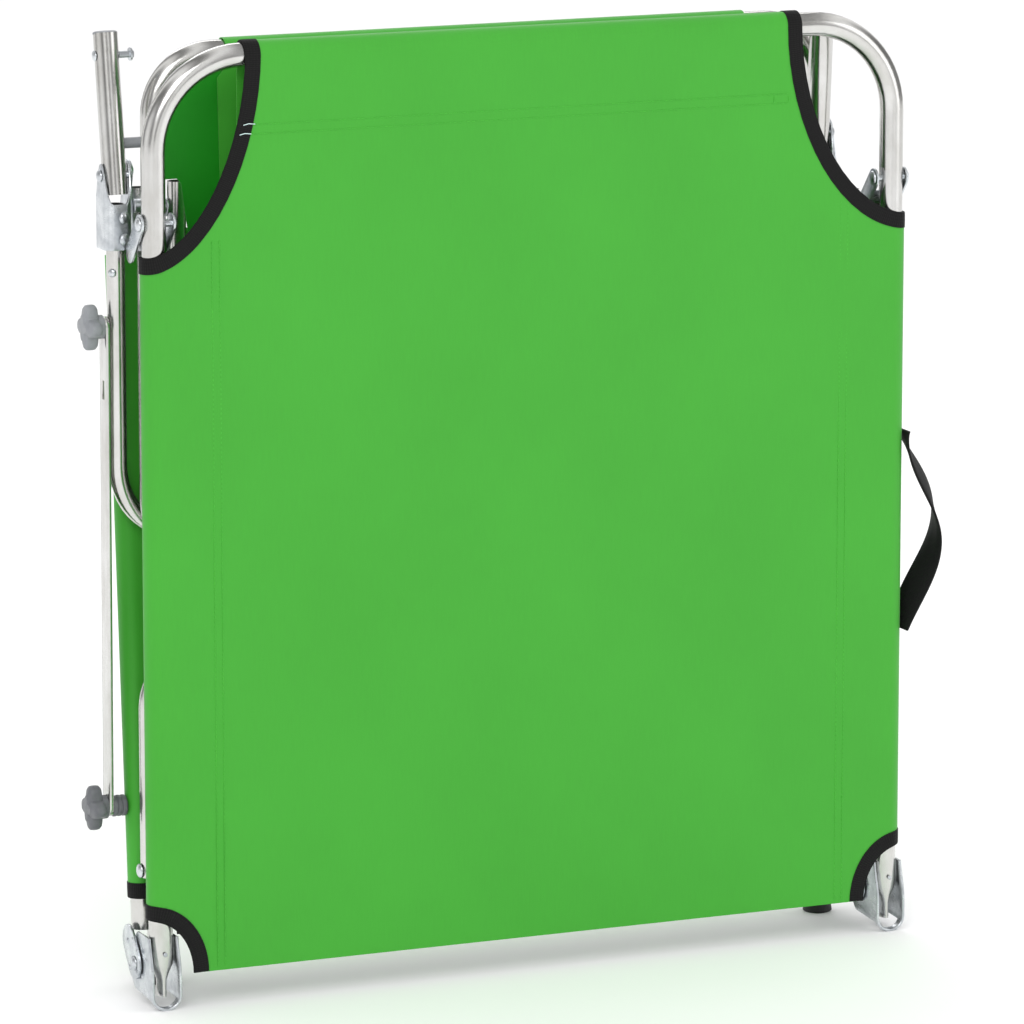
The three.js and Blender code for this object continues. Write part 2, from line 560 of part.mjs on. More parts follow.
// The right arm runs inside its rail, so its lower screw has a slim knob on the inner side.
for (const [name, hand] of sides) {
  const face = armFaces[name];
  const far = face + hand * ARM.thickness;
  const leftSide = name === 'left';
  metalPiece(`canopy_arm_${name}`, arm(hand, face));
  piece(`upper_knob_${name}`,
    knob(hand, far + hand * GAP, face - hand * 13, CANOPY_Y, ARM.topZ), gray, 0.5, 0);
  const lowerHub = leftSide ? far - GAP : face - GAP;
  const lowerReach = leftSide ? KNOB.radius : SLIM_KNOB_R;
  piece(`lower_knob_${name}`,
    knob(-1, lowerHub, hand * RAIL_X + 6, armY, ARM.lowZ, lowerReach), gray, 0.5, 0);
  const washerFrom = (leftSide ? face : far) + GAP;
  piece(`arm_spacer_${name}`,
    ring(washerFrom, hand * RAIL_X - SLEEVE_OUT - GAP, 8, armY, ARM.lowZ), gray, 0.5, 0);
}

cot.position.set(-ORIGIN_X, -ORIGIN_Y, 0);

export default cot;
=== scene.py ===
import json
import math

import bmesh
import bpy
from mathutils import Matrix, Vector


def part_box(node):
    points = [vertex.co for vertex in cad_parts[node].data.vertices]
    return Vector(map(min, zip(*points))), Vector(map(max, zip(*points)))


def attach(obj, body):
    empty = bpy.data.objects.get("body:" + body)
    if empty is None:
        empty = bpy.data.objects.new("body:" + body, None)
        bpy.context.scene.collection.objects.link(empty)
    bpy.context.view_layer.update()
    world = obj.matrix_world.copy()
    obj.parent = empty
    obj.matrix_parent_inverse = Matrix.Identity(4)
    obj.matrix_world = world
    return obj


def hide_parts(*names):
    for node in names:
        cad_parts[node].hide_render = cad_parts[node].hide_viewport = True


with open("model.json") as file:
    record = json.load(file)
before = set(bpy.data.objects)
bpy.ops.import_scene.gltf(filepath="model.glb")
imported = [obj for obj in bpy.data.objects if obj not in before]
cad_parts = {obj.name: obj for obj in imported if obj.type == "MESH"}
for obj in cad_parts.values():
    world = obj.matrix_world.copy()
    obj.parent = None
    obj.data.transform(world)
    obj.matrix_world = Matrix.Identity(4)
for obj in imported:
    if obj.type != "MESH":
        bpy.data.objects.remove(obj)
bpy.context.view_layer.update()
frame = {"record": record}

# ---- driving sizes, in metres ----
MM = 0.001
TUBE_R = 9 * MM
LEG_R = 8 * MM
THIN_TUBE_R = 7 * MM
TUBE_WALL = 1.2 * MM
LEAST_BORE = 0.4 * MM
BORE_DEPTH = 12 * MM
FIN_END = 9 * MM
FRONT_BEND = 68 * MM
SECTION_SIDES = 32

CLOTH = 0.9 * MM
SLEEVE_R = 10.1 * MM
WIDE_FLAP = 48 * MM
NARROW_FLAP = 24 * MM
ROOF_LEFT = 221 * MM
ROOF_RIGHT = 198 * MM
TAPE_WIDTH = 11 * MM
TAPE_HALF = 1.0 * MM
THREAD_R = 0.30 * MM
# Each sling's scoops at top left, top right and both bottom corners.
# A scoop is its reach across, its reach down and its roundness.
FRONT_SCOOPS = ((79 * MM, 145 * MM, 1.8), (91 * MM, 147 * MM, 1.88), (33 * MM, 42 * MM, 2))
MIDDLE_SCOOPS = ((60 * MM, 16 * MM, 2), (60 * MM, 16 * MM, 2), (41 * MM, 34 * MM, 2))
REAR_SCOOPS = ((60 * MM, 60 * MM, 2), (60 * MM, 60 * MM, 2), (30 * MM, 24 * MM, 2))

SIDES = (("left", -1), ("right", 1))


def middle(node):
    low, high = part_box(node)
    return (low + high) / 2


def left_end(node):
    """The middle of a box's left side, and how far the box reaches to the right of it."""
    low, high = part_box(node)
    at = middle(node)
    at.x = low.x
    return at, high.x - low.x


# ---- camera, at the angle from which the folded cot is seen ----
def add_aimed(name, data, location, target):
    """Adds a camera or a light that looks from its place towards a target."""
    thing = bpy.data.objects.new(name, data)
    thing.location = location
    thing.rotation_mode = "QUATERNION"
    thing.rotation_quaternion = (target - location).to_track_quat("-Z", "Y")
    bpy.context.scene.collection.objects.link(thing)
    return thing


def make_camera():
    azimuth, elevation = math.radians(-23.0), math.radians(11.2)
    distance, lens, sensor = 5.168, 240.9, 36
    target = Vector((0.0056, 0.0, 0.3411))
    back = Vector((
        math.sin(azimuth) * math.cos(elevation),
        -math.cos(azimuth) * math.cos(elevation),
        math.sin(elevation),
    ))
    data = bpy.data.cameras.new("camera")
    data.lens = lens
    data.sensor_width = sensor
    data.clip_end = 50
    bpy.context.scene.camera = add_aimed("camera", data, target + back * distance, target)


make_camera()


# ---- materials ----
class Shader:
    """A material whose nodes are made and linked by short calls."""

    def __init__(self, name, on_surface=False):
        """The patterns lie in metres, along the piece's own surface or in the space round it."""
        self.material = bpy.data.materials.new(name)
        self.material.use_nodes = True
        self.tree = self.material.node_tree
        self.surface = self.tree.nodes["Principled BSDF"]
        if on_surface:
            self.where = self.node("ShaderNodeAttribute", attribute_name="weave").outputs["Vector"]
        else:
            self.where = self.node("ShaderNodeTexCoord").outputs["Object"]

    def node(self, kind, **settings):
        node = self.tree.nodes.new(kind)
        for name, value in settings.items():
            setattr(node, name, value)
        return node

    def link(self, source, target):
        self.tree.links.new(source, target)

    def set(self, **values):
        for name, value in values.items():
            self.surface.inputs[name.replace("_", " ")].default_value = value

    def noise(self, scale, detail=4.0, roughness=0.55):
        """Noise with so many features to the metre in each direction."""
        scaled = self.node("ShaderNodeVectorMath", operation="MULTIPLY")
        scaled.inputs[1].default_value = scale
        self.link(self.where, scaled.inputs[0])
        node = self.node("ShaderNodeTexNoise")
        node.inputs["Scale"].default_value = 1.0
        node.inputs["Detail"].default_value = detail
        node.inputs["Roughness"].default_value = roughness
        self.link(scaled.outputs[0], node.inputs["Vector"])
        return node.outputs["Fac"]

    def bands(self, direction, pitch, distortion):
        """Sine ribs across one direction, a pitch apart in metres."""
        node = self.node("ShaderNodeTexWave", wave_type="BANDS", bands_direction=direction)
        node.inputs["Scale"].default_value = 0.314 / pitch
        node.inputs["Distortion"].default_value = distortion
        self.link(self.where, node.inputs["Vector"])
        return node.outputs["Fac"]

    def math(self, operation, a, b):
        node = self.node("ShaderNodeMath", operation=operation)
        for value, socket in zip((a, b), node.inputs):
            if isinstance(value, (int, float)):
                socket.default_value = value
            else:
                self.link(value, socket)
        return node.outputs[0]

    def ramp(self, fac, low, high, start=0.3, end=0.7):
        node = self.node("ShaderNodeValToRGB")
        node.color_ramp.elements[0].position = start
        node.color_ramp.elements[1].position = end
        node.color_ramp.elements[0].color = (*low, 1)
        node.color_ramp.elements[1].color = (*high, 1)
        self.link(fac, node.inputs[0])
        return node.outputs[0]

    def remap(self, fac, low, high):
        node = self.node("ShaderNodeMapRange")
        node.inputs["To Min"].default_value = low
        node.inputs["To Max"].default_value = high
        self.link(fac, node.inputs["Value"])
        return node.outputs[0]

    def mix(self, fac, a, b):
        node = self.node("ShaderNodeMix", data_type="RGBA")
        for value, socket in ((fac, node.inputs[0]), (a, node.inputs[6]), (b, node.inputs[7])):
            if isinstance(value, tuple):
                socket.default_value = (*value, 1)
            else:
                self.link(value, socket)
        return node.outputs[2]

    def bump(self, height, distance, strength, below=None):
        node = self.node("ShaderNodeBump")
        node.inputs["Strength"].default_value = strength
        node.inputs["Distance"].default_value = distance
        self.link(height, node.inputs["Height"])
        if below:
            self.link(below, node.inputs["Normal"])
        return node.outputs[0]

    def finish(self, color, roughness, normal):
        self.link(color, self.surface.inputs["Base Color"])
        self.link(roughness, self.surface.inputs["Roughness"])
        self.link(normal, self.surface.inputs["Normal"])
        return self.material


def coated_cloth(name, light, dark):
    """Coated plain-weave polyester: fine threads both ways, faint slubs and a soft sheen."""
    s = Shader(name, on_surface=True)
    threads = s.math("MAXIMUM", s.bands("X", 0.62 * MM, 0.6), s.bands("Y", 0.62 * MM, 0.6))
    slubs = s.noise((900, 60, 1), 3.0)
    clouds = s.noise((7, 5, 1), 3.0)
    tone = s.ramp(clouds, dark, light, 0.25, 0.75)
    tone = s.mix(s.remap(slubs, 0.0, 0.10), tone, (0.0, 0.0, 0.0))
    tone = s.mix(s.remap(threads, 0.10, 0.0), tone, (0.0, 0.02, 0.0))
    normal = s.bump(s.noise((16, 9, 1), 2.0), 1.2 * MM, 0.5)
    normal = s.bump(s.math("ADD", threads, slubs), 0.06 * MM, 0.35, normal)
    s.set(Sheen_Weight=0.12, Sheen_Roughness=0.5, Specular_IOR_Level=0.35)
    return s.finish(tone, s.remap(clouds, 0.50, 0.60), normal)


def woven_tape(name, rib, tone_low, tone_high):
    """Black woven tape: cross ribs, two thread columns and a little dust."""
    s = Shader(name, on_surface=True)
    columns = s.bands("X", rib * 1.6, 0.3)
    weave = s.math("MULTIPLY", s.bands("Y", rib, 0.3), s.remap(columns, 0.45, 1.0))
    fuzz = s.noise((2500, 900, 1), 2.0)
    color = s.ramp(weave, tone_low, tone_high, 0.1, 0.9)
    color = s.mix(s.remap(fuzz, 0.0, 0.2), color, (0.016, 0.016, 0.017))
    normal = s.bump(s.math("ADD", weave, s.math("MULTIPLY", fuzz, 0.4)), 0.25 * MM, 0.7)
    s.set(Sheen_Weight=0.04, Sheen_Roughness=0.4, Specular_IOR_Level=0.2)
    return s.finish(color, s.remap(fuzz, 0.62, 0.85), normal)


def drawn_tube():
    """Bright drawn aluminium: lengthwise grain, faint stains and short handling scratches."""
    s = Shader("tube_aluminium", on_surface=True)
    grain = s.noise((2600, 18, 1), 4.0, 0.65)
    stain = s.noise((30, 14, 1), 5.0, 0.7)
    scratch = s.noise((340, 2400, 1), 2.0)
    color = s.ramp(stain, (0.56, 0.55, 0.52), (0.74, 0.735, 0.72), 0.3, 0.6)
    color = s.mix(s.remap(grain, 0.0, 0.22), color, (0.36, 0.35, 0.34))
    rough = s.math("ADD", s.remap(stain, 0.13, 0.22), s.remap(grain, -0.03, 0.08))
    normal = s.bump(scratch, 0.02 * MM, 0.3, s.bump(grain, 0.035 * MM, 0.6))
    s.set(Metallic=1.0, Anisotropic=0.3)
    return s.finish(color, rough, normal)


def zinc_sheet():
    """Zinc-plated stamped steel: soft spangle, drawing marks and dull patches."""
    s = Shader("zinc_steel")
    spangle = s.node("ShaderNodeTexVoronoi")
    spangle.inputs["Scale"].default_value = 260
    s.link(s.where, spangle.inputs["Vector"])
    cells = spangle.outputs["Distance"]
    patches = s.noise((60, 60, 60), 5.0, 0.65)
    lines = s.noise((300, 300, 2600), 3.0)
    color = s.ramp(patches, (0.40, 0.43, 0.46), (0.74, 0.77, 0.79), 0.3, 0.7)
    color = s.mix(s.remap(cells, 0.0, 0.25), color, (0.85, 0.87, 0.90))
    rough = s.math("ADD", s.remap(patches, 0.34, 0.20), s.remap(lines, -0.04, 0.08))
    s.set(Metallic=1.0)
    return s.finish(color, rough, s.bump(s.math("ADD", lines, cells), 0.05 * MM, 0.5))


def moulded_plastic(name, low, high, roughness):
    """Moulded plastic with a fine spark-eroded grain."""
    s = Shader(name)
    grain = s.noise((1800, 1800, 1800), 3.0)
    color = s.ramp(s.noise((90, 90, 40)), low, high)
    color = s.mix(s.remap(grain, 0.0, 0.12), color, tuple(2.2 * c for c in high))
    s.set(Specular_IOR_Level=0.45)
    rough = s.remap(grain, roughness - 0.05, roughness + 0.12)
    return s.finish(color, rough, s.bump(grain, 0.08 * MM, 0.45))


def painted_bore_shade():
    """Painted shade for the inside of an open tube end: near-black, with a faint mottle."""
    s = Shader("tube_bore_painted_shade")
    mottle = s.noise((200, 200, 200))
    color = s.ramp(mottle, (0.03, 0.03, 0.03), (0.12, 0.12, 0.12))
    return s.finish(color, s.remap(mottle, 0.5, 0.7), s.bump(mottle, 0.1 * MM, 0.4))


GREEN = coated_cloth("green_cloth", (0.050, 0.395, 0.026), (0.043, 0.355, 0.021))
# A darker copy of the green cloth: painted shade for the canopy's wing, which lies in shadow behind the
# frame.
SHADED_GREEN = coated_cloth("green_cloth_painted_shade", (0.003, 0.30, 0.003), (0.002, 0.25, 0.002))
GREEN_THREAD = moulded_plastic("green_thread", (0.045, 0.36, 0.025), (0.06, 0.42, 0.03), 0.6)
WHITE_THREAD = moulded_plastic("thread_ends", (0.45, 0.62, 0.6), (0.6, 0.75, 0.72), 0.6)
TAPE = woven_tape("black_binding", 1.5 * MM, (0.003, 0.003, 0.003), (0.010, 0.0095, 0.0095))
WEBBING = woven_tape("black_webbing", 1.1 * MM, (0.003, 0.003, 0.003), (0.009, 0.009, 0.0095))
TUBE = drawn_tube()
ZINC = zinc_sheet()
BORE_SHADE = painted_bore_shade()
GRAY = moulded_plastic("gray_plastic", (0.20, 0.21, 0.225), (0.27, 0.28, 0.295), 0.42)
DARK_GRAY = moulded_plastic("dark_gray_plastic", (0.10, 0.105, 0.115), (0.15, 0.155, 0.165), 0.4)
BLACK = moulded_plastic("black_plastic", (0.012, 0.012, 0.012), (0.02, 0.02, 0.02), 0.5)

SLOTS = {
    "green_cloth": (GREEN, SHADED_GREEN, GREEN_THREAD, WHITE_THREAD),
    "black_webbing": (TAPE, WEBBING),
    "tube_aluminium": (TUBE,),
    "zinc_steel": (ZINC,),
    "gray_plastic": (GRAY, DARK_GRAY),
    "black_plastic": (BLACK,),
}
SLOT_OF = {material.name: slot for slot, members in SLOTS.items() for material in members}
BODY_OF = {n: b for b, members in frame["record"]["behaviour"]["bodies"].items() for n in members}


# ---- mesh making ----
class Builder:
    """Gathers vertices, their surface coordinates and faces, then makes one named piece."""

    def __init__(self):
        self.points = []
        self.coordinates = []
        self.faces = []
        self.slots = []

    def add(self, point, coordinate=(0, 0)):
        self.points.append(tuple(point))
        self.coordinates.append((coordinate[0], coordinate[1], 0.0))
        return len(self.points) - 1

    def face(self, *corners, slot=0):
        self.faces.append(corners)
        self.slots.append(slot)

    def rings(self, rings, closed=True, slot=0):
        """Joins rings of vertex numbers with quads."""
        for before, after in zip(rings, rings[1:]):
            count = len(before)
            for k in range(count if closed else count - 1):
                n = (k + 1) % count
                self.face(before[k], before[n], after[n], after[k], slot=slot)

    def cap(self, ring, slot=0):
        """Closes a ring with a fan round its middle."""
        centre = sum((Vector(self.points[i]) for i in ring), Vector()) / len(ring)
        hub = self.add(centre, self.coordinates[ring[0]][:2])
        for k, corner in enumerate(ring):
            self.face(corner, ring[(k + 1) % len(ring)], hub, slot=slot)

    def ring(self, centre, across, upward, radius, along, count):
        """Points on an oval round a centre; across and upward are its two half axes."""
        made = []
        for k in range(count):
            angle = 2 * math.pi * k / count
            offset = across * math.cos(angle) + upward * math.sin(angle)
            made.append(self.add(centre + offset, (radius * angle, along)))
        return made

    def solid(self, rings):
        """Joins rings and closes both ends."""
        self.rings(rings)
        self.cap(rings[0])
        self.cap(rings[-1])

    def piece(self, node, suffix, *materials, extra=False, thickness=0.0, bevel=0.0, place=None):
        """Makes the piece, which rides with a node's body and replaces the node unless it is an extra."""
        name = f"{node}_{suffix}"
        mesh = bpy.data.meshes.new(name)
        mesh.from_pydata(self.points, [], self.faces)
        weave = mesh.attributes.new("weave", "FLOAT_VECTOR", "POINT")
        weave.data.foreach_set("vector", [c for triple in self.coordinates for c in triple])
        for material in materials:
            mesh.materials.append(material)
        mesh.polygons.foreach_set("material_index", self.slots)
        if place:
            mesh.transform(place)
        work = bmesh.new()
        work.from_mesh(mesh)
        bmesh.ops.remove_doubles(work, verts=work.verts, dist=1e-7)
        bmesh.ops.recalc_face_normals(work, faces=work.faces)
        work.to_mesh(mesh)
        work.free()
        obj = bpy.data.objects.new(name, mesh)
        bpy.context.scene.collection.objects.link(obj)
        if thickness:
            obj.modifiers.new("sheet", "SOLIDIFY").thickness = thickness
            obj.modifiers["sheet"].offset = 0
        if bevel:
            edge = obj.modifiers.new("edges", "BEVEL")
            edge.width = bevel
            edge.segments = 2
            edge.limit_method = "ANGLE"
            edge.angle_limit = math.radians(50)
        if obj.modifiers:
            graph = bpy.context.evaluated_depsgraph_get()
            obj.data = bpy.data.meshes.new_from_object(obj.evaluated_get(graph))
            obj.data.name = name
            obj.modifiers.clear()
        obj.data.polygons.foreach_set("use_smooth", [True] * len(obj.data.polygons))
        obj.data.set_sharp_from_angle(angle=math.radians(38))
        if not extra:
            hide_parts(node)
        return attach(obj, BODY_OF.get(node, node))


def smooth(t):
    """An even step from 0 to 1, level at both ends."""
    t = min(max(t, 0.0), 1.0)
    return t * t * (3 - 2 * t)


def distances(path):
    """How far along a path each of its points is."""
    result = [0.0]
    for before, after in zip(path, path[1:]):
        result.append(result[-1] + math.dist(before, after))
    return result


def tangent_at(path, i):
    """A path's direction at its i-th point, from the points on both sides of it."""
    return (path[min(i + 1, len(path) - 1)] - path[max(i - 1, 0)]).normalized()


# ---- tubes ----
def rounded_path(corners, bend, steps=14):
    """The stations (point, tangent) along straight runs with an arc at each corner."""
    stations = []
    for i, corner in enumerate(corners):
        before = (corner - corners[i - 1]).normalized() if i else None
        after = (corners[i + 1] - corner).normalized() if i < len(corners) - 1 else None
        if before is None or after is None:
            stations.append((corner.copy(), before or after))
            continue
        turn = before.angle(after)
        inward = (after - before * after.dot(before)).normalized()
        centre = corner - before * bend * math.tan(turn / 2) + inward * bend
        for k in range(steps + 1):
            angle = turn * k / steps
            point = centre - inward * bend * math.cos(angle) + before * bend * math.sin(angle)
            stations.append((point, before * math.cos(angle) + inward * math.sin(angle)))
    return stations


def split_runs(stations, longest=0.03):
    """Adds stations on the long straight runs, so that the grain and any taper have points to use."""
    result = [stations[0]]
    for (start, _), (end, tangent) in zip(stations, stations[1:]):
        count = max(1, math.ceil((end - start).length / longest))
        for k in range(1, count + 1):
            result.append((start.lerp(end, k / count), tangent))
    return result


def tube(node, corners, radius, bend=0.03, across=Vector((0, 1, 0)), taper=None):
    """A drawn tube with open ends. taper gives the section's two half widths at a distance from an end."""
    build = Builder()
    stations = split_runs(rounded_path(corners, bend), 0.006 if taper else 0.03)
    along = distances([point for point, _ in stations])

    def ring(point, tangent, wide, deep, travelled):
        side = tangent.cross(across).normalized()
        up = side.cross(tangent).normalized()
        return build.ring(point, side * wide, up * deep, radius, travelled, SECTION_SIDES)

    def half_widths(distance):
        return taper(distance) if taper else (radius, radius)

    rings = []
    for (point, tangent), travelled in zip(stations, along):
        wide, deep = half_widths(min(travelled, along[-1] - travelled))
        rings.append(ring(point, tangent, wide, deep, travelled))
    build.rings(rings)
    for end, (point, tangent), inwards in ((rings[0], stations[0], 1), (rings[-1], stations[-1], -1)):
        wide, deep = (max(half - TUBE_WALL, LEAST_BORE) for half in half_widths(0.0))
        lip = ring(point, tangent, wide, deep, 0)
        floor = ring(point + tangent * inwards * BORE_DEPTH, tangent, wide, deep, 0)
        build.rings([end, lip])
        # The bore's wall and floor take the near-black painted shade of a deep tube.
        build.rings([lip, floor], slot=1)
        build.cap(floor, slot=1)
    build.piece(node, "tube", TUBE, BORE_SHADE)


def hoop_corners(node, radius, bar_on_top):
    """The four corners of a U of tube, which opens downwards where its bar is on top."""
    low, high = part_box(node)
    y = middle(node).y
    bar, end = (high.z - radius, low.z) if bar_on_top else (low.z + radius, high.z)
    left, right = low.x + radius, high.x - radius
    return [Vector(p) for p in ((left, y, end), (left, y, bar), (right, y, bar), (right, y, end))]


def leaning_corners(node, radius, shortened=0.0):
    """The foot and the top of a straight tube that leans back, its foot cut back by a length."""
    low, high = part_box(node)
    x = middle(node).x
    foot, top = Vector((x, low.y + radius, low.z)), Vector((x, high.y - radius, high.z))
    return [foot + (top - foot).normalized() * shortened, top]


def crimped_end(distance):
    """Half widths near the front frame's ends: pressed into a narrow fin that stands in the shoe."""
    flat, full = 12 * MM, 26 * MM
    fin_wide, fin_deep = 3.2 * MM, 7.4 * MM
    share = smooth((distance - flat) / (full - flat))
    return fin_wide + (TUBE_R - fin_wide) * share, fin_deep + (TUBE_R - fin_deep) * share


def make_tubes():
    corners = hoop_corners("front_frame", TUBE_R, True)
    for end in (corners[0], corners[-1]):
        end.z = FIN_END
    tube("front_frame", corners, TUBE_R, FRONT_BEND, taper=crimped_end)
    hoops = (
        ("front_leg", TUBE_R, 60, False),
        ("lower_leg", LEG_R, 46, True),
        ("upper_leg", THIN_TUBE_R, 40, False),
        ("canopy_lower_hoop", THIN_TUBE_R, 55, False),
        ("canopy_upper_hoop", TUBE_R, 45, True),
    )
    for node, radius, bend, bar_on_top in hoops:
        tube(node, hoop_corners(node, radius, bar_on_top), radius, bend * MM)
    sideways = Vector((1, 0, 0))
    for side, _ in SIDES:
        # The middle rail stops short of the fin that the front tube swings under it.
        for node, shortened in ((f"middle_rail_{side}", 7 * MM), (f"rear_rail_{side}", 0.0)):
            tube(node, leaning_corners(node, TUBE_R, shortened), TUBE_R, across=sideways)
        foot, top = leaning_corners(f"support_tube_{side}", TUBE_R)
        if side == "right":
            foot.y, top.y = top.y, foot.y
        tube(f"support_tube_{side}", [foot, top], TUBE_R, across=sideways)
    start, length = left_end("rear_crossbar")
    tube("rear_crossbar", [start, start + length * sideways], LEG_R)


make_tubes()


# ---- turned parts ----
def turned(build, profile, at, axis, steps=24):
    """Revolves (radius, height) points round an axis from a point; the first and last lie on the axis."""
    at, axis = Vector(at), Vector(axis).normalized()
    side = axis.orthogonal().normalized()
    up = axis.cross(side)
    rings = [build.ring(at + axis * height, side * radius, up * radius, radius, height, steps)
             for radius, height in profile[1:-1]]
    build.rings(rings)
    for ring, (_, height) in ((rings[0], profile[0]), (rings[-1], profile[-1])):
        hub = build.add(at + axis * height)
        for k in range(steps):
            build.face(ring[k], ring[(k + 1) % steps], hub)


def turned_piece(node, suffix, material, profile, at, axis, steps=24, extra=False):
    build = Builder()
    turned(build, profile, at, axis, steps)
    build.piece(node, suffix, material, extra=extra)


def in_millimetres(profile):
    return [(radius * MM, height * MM) for radius, height in profile]


def domed(build, at, axis, radius, height, shank=0.0, shank_length=0.0):
    """A rivet head: a low dome with a soft edge, and a shank below it where one is given."""
    profile = [(0, -shank_length), (shank or radius * 0.6, -shank_length), (shank or radius * 0.6, 0)]
    profile.append((radius, 0))
    for k in range(1, 7):
        angle = math.pi / 2 * k / 6
        profile.append((radius * (math.cos(angle) * 0.97 + 0.03 * (k < 6)), height * math.sin(angle)))
    profile[-1] = (0, height)
    turned(build, profile, at, axis)


def headed_pins():
    """The domed hinge pins and rivets that the CAD has as flat-headed pins along X."""
    names = ("fold_pin", "front_leg_pin", "lower_leg_pin", "upper_leg_pin", "rear_hinge_pin", "knuckle_pin")
    shank, head_height = 2.7 * MM, 2.4 * MM
    for node in (f"{name}_{side}" for name in names for side, _ in SIDES):
        low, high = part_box(node)
        reach = (high.x - low.x) / 2 - 1.8 * MM
        build = Builder()
        for hand in (-1, 1):
            at = middle(node) + Vector((hand * reach, 0, 0))
            domed(build, at, (hand, 0, 0), (high.z - low.z) / 2, head_height, shank, reach - 0.05 * MM)
        build.piece(node, "rivet", ZINC)


headed_pins()


# ---- flat plates ----
def capsule(start, end, radius, steps=14):
    """The YZ outline of a strip with round ends."""
    angle = math.atan2(end[1] - start[1], end[0] - start[0])
    points = []
    for centre, first in ((start, angle + math.pi / 2), (end, angle - math.pi / 2)):
        for k in range(steps + 1):
            a = first + math.pi * k / steps
            points.append((centre[0] + radius * math.cos(a), centre[1] + radius * math.sin(a)))
    return points


def plate(build, outline, x0, x1, holes=()):
    """An extruded YZ outline with holes. The faces are filled in a scratch mesh and added to the build."""
    work = bmesh.new()
    for loop in (outline, *holes):
        made = [work.verts.new((x0, y, z)) for y, z in loop]
        for k, vertex in enumerate(made):
            work.edges.new((vertex, made[(k + 1) % len(made)]))
    bmesh.ops.triangle_fill(work, edges=work.edges[:], use_beauty=True, use_dissolve=False)
    faces = work.faces[:]
    grown = bmesh.ops.extrude_face_region(work, geom=faces)
    moved = [item for item in grown["geom"] if isinstance(item, bmesh.types.BMVert)]
    bmesh.ops.translate(work, verts=moved, vec=(x1 - x0, 0, 0))
    work.verts.index_update()
    first = len(build.points)
    for vertex in work.verts:
        build.add(vertex.co, (vertex.co.y, vertex.co.z))
    for face in work.faces:
        build.face(*(first + vertex.index for vertex in face.verts))
    work.free()


def slab(build, x0, x1, y0, y1, z0, z1):
    plate(build, [(y0, z0), (y1, z0), (y1, z1), (y0, z1)], x0, x1)


def middle_shoe(side, hand):
    """Two cheeks outside the front shoe: a dimpled lobe outside, and a strip inside with the leg's ear."""
    node = f"middle_shoe_{side}"
    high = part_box(node)[1]
    rail_x = middle(f"front_shoe_{side}").x
    fold = middle(f"fold_pin_{side}")
    pivot = middle(f"lower_leg_pin_{side}")
    top_y, top_z = high.y - 11.6 * MM, fold.z + 31 * MM
    near, far = 12 * MM, 13.8 * MM
    build = Builder()
    lobe = capsule((fold.y + 2 * MM, fold.z), (fold.y + 13 * MM, fold.z + 14 * MM), 12.5 * MM)
    strip = capsule((fold.y, fold.z), (top_y, top_z), 11.6 * MM)
    ear = capsule((fold.y, fold.z), (pivot.y, pivot.z), 6.4 * MM)
    plate(build, lobe, rail_x + hand * near, rail_x + hand * far)
    plate(build, strip, rail_x - hand * near, rail_x - hand * far)
    plate(build, ear, rail_x - hand * (near + 0.05 * MM), rail_x - hand * (far - 0.05 * MM))
    ends = sorted((rail_x - hand * far, rail_x + hand * 5 * MM))
    slab(build, *ends, high.y - 1.7 * MM, high.y, top_z - 2 * MM, top_z + 4 * MM)
    for dy, dz in ((-6, 10), (9, -5), (-5, -6), (14, 14), (3, 17)):
        at = (rail_x + hand * (far - 0.2 * MM), fold.y + dy * MM, fold.z + dz * MM)
        domed(build, at, (hand, 0, 0), 2.3 * MM, 1.4 * MM)
    build.piece(node, "plates", ZINC, bevel=0.35 * MM)


def front_shoe(side, hand):
    """The spoon-shaped channel on the front tube's end: a U of sheet, open in front, with a rolled rim."""
    node = f"front_shoe_{side}"
    low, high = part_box(node)
    x = (low.x + high.x) / 2
    half, front = 10.4 * MM, low.y + 1.2 * MM
    base = low.z + 0.9 * MM
    wall_top = high.z - 1 * MM

    def rim(z):
        """How far forward the edge stands at a height: full at the heel, drawn in above the bulge."""
        return front + 7.5 * MM * smooth((z - 24 * MM) / (34 * MM))

    def back(z):
        """Where the cheek ends behind: a rounded lobe that holds the fold pin."""
        lobe = 36.5 * MM * math.sin(math.pi * min(max((z + 5 * MM) / (68 * MM), 0.0), 1.0)) ** 0.75
        return min(high.y, front + 14 * MM + lobe * 0.95)

    profile = [(-half, wall_top - k * (wall_top - base - half) / 12) for k in range(12)]
    for k in range(17):
        angle = math.pi + math.pi * k / 16
        profile.append((half * math.cos(angle), base + half + half * math.sin(angle)))
    profile += [(half, base + half + k * (wall_top - base - half) / 12) for k in range(1, 13)]
    build = Builder()
    steps, columns = 12, []
    for px, z in profile:
        flare = 1.2 * MM * math.exp(-((z - 8 * MM) / (9 * MM)) ** 2)
        end = back(z) if abs(px) > 0.95 * half else front + 5.5 * MM
        column = []
        for k in range(steps + 1):
            y = rim(z) + (end - rim(z)) * k / steps
            spread = 1 + flare / half * (1 - k / steps) * 0.6
            column.append(build.add((x + px * min(spread, 1.05), y, z), (px + z, y)))
        columns.append(column)
    build.rings(columns, closed=False)
    build.piece(node, "channel", ZINC, thickness=1.5 * MM, bevel=0.3 * MM)
    edge = Builder()
    path = [Vector((x + px * 1.04, rim(z) - 0.2 * MM, z)) for px, z in profile]
    rope(edge, path, 1.15 * MM)
    edge.piece(node, "rolled_rim", ZINC, extra=True)
    studs = Builder()
    for y, z in ((8, 13), (14, 36), (22, 22)):
        at = (x + hand * (half + 0.6 * MM), front + y * MM, z * MM)
        domed(studs, at, (hand, 0, 0), 2.2 * MM, 0.9 * MM)
    domed(studs, (x, low.y + 3.2 * MM, 42 * MM), (0, -1, 0), 1.7 * MM, 0.8 * MM)
    studs.piece(node, "studs", ZINC, extra=True)


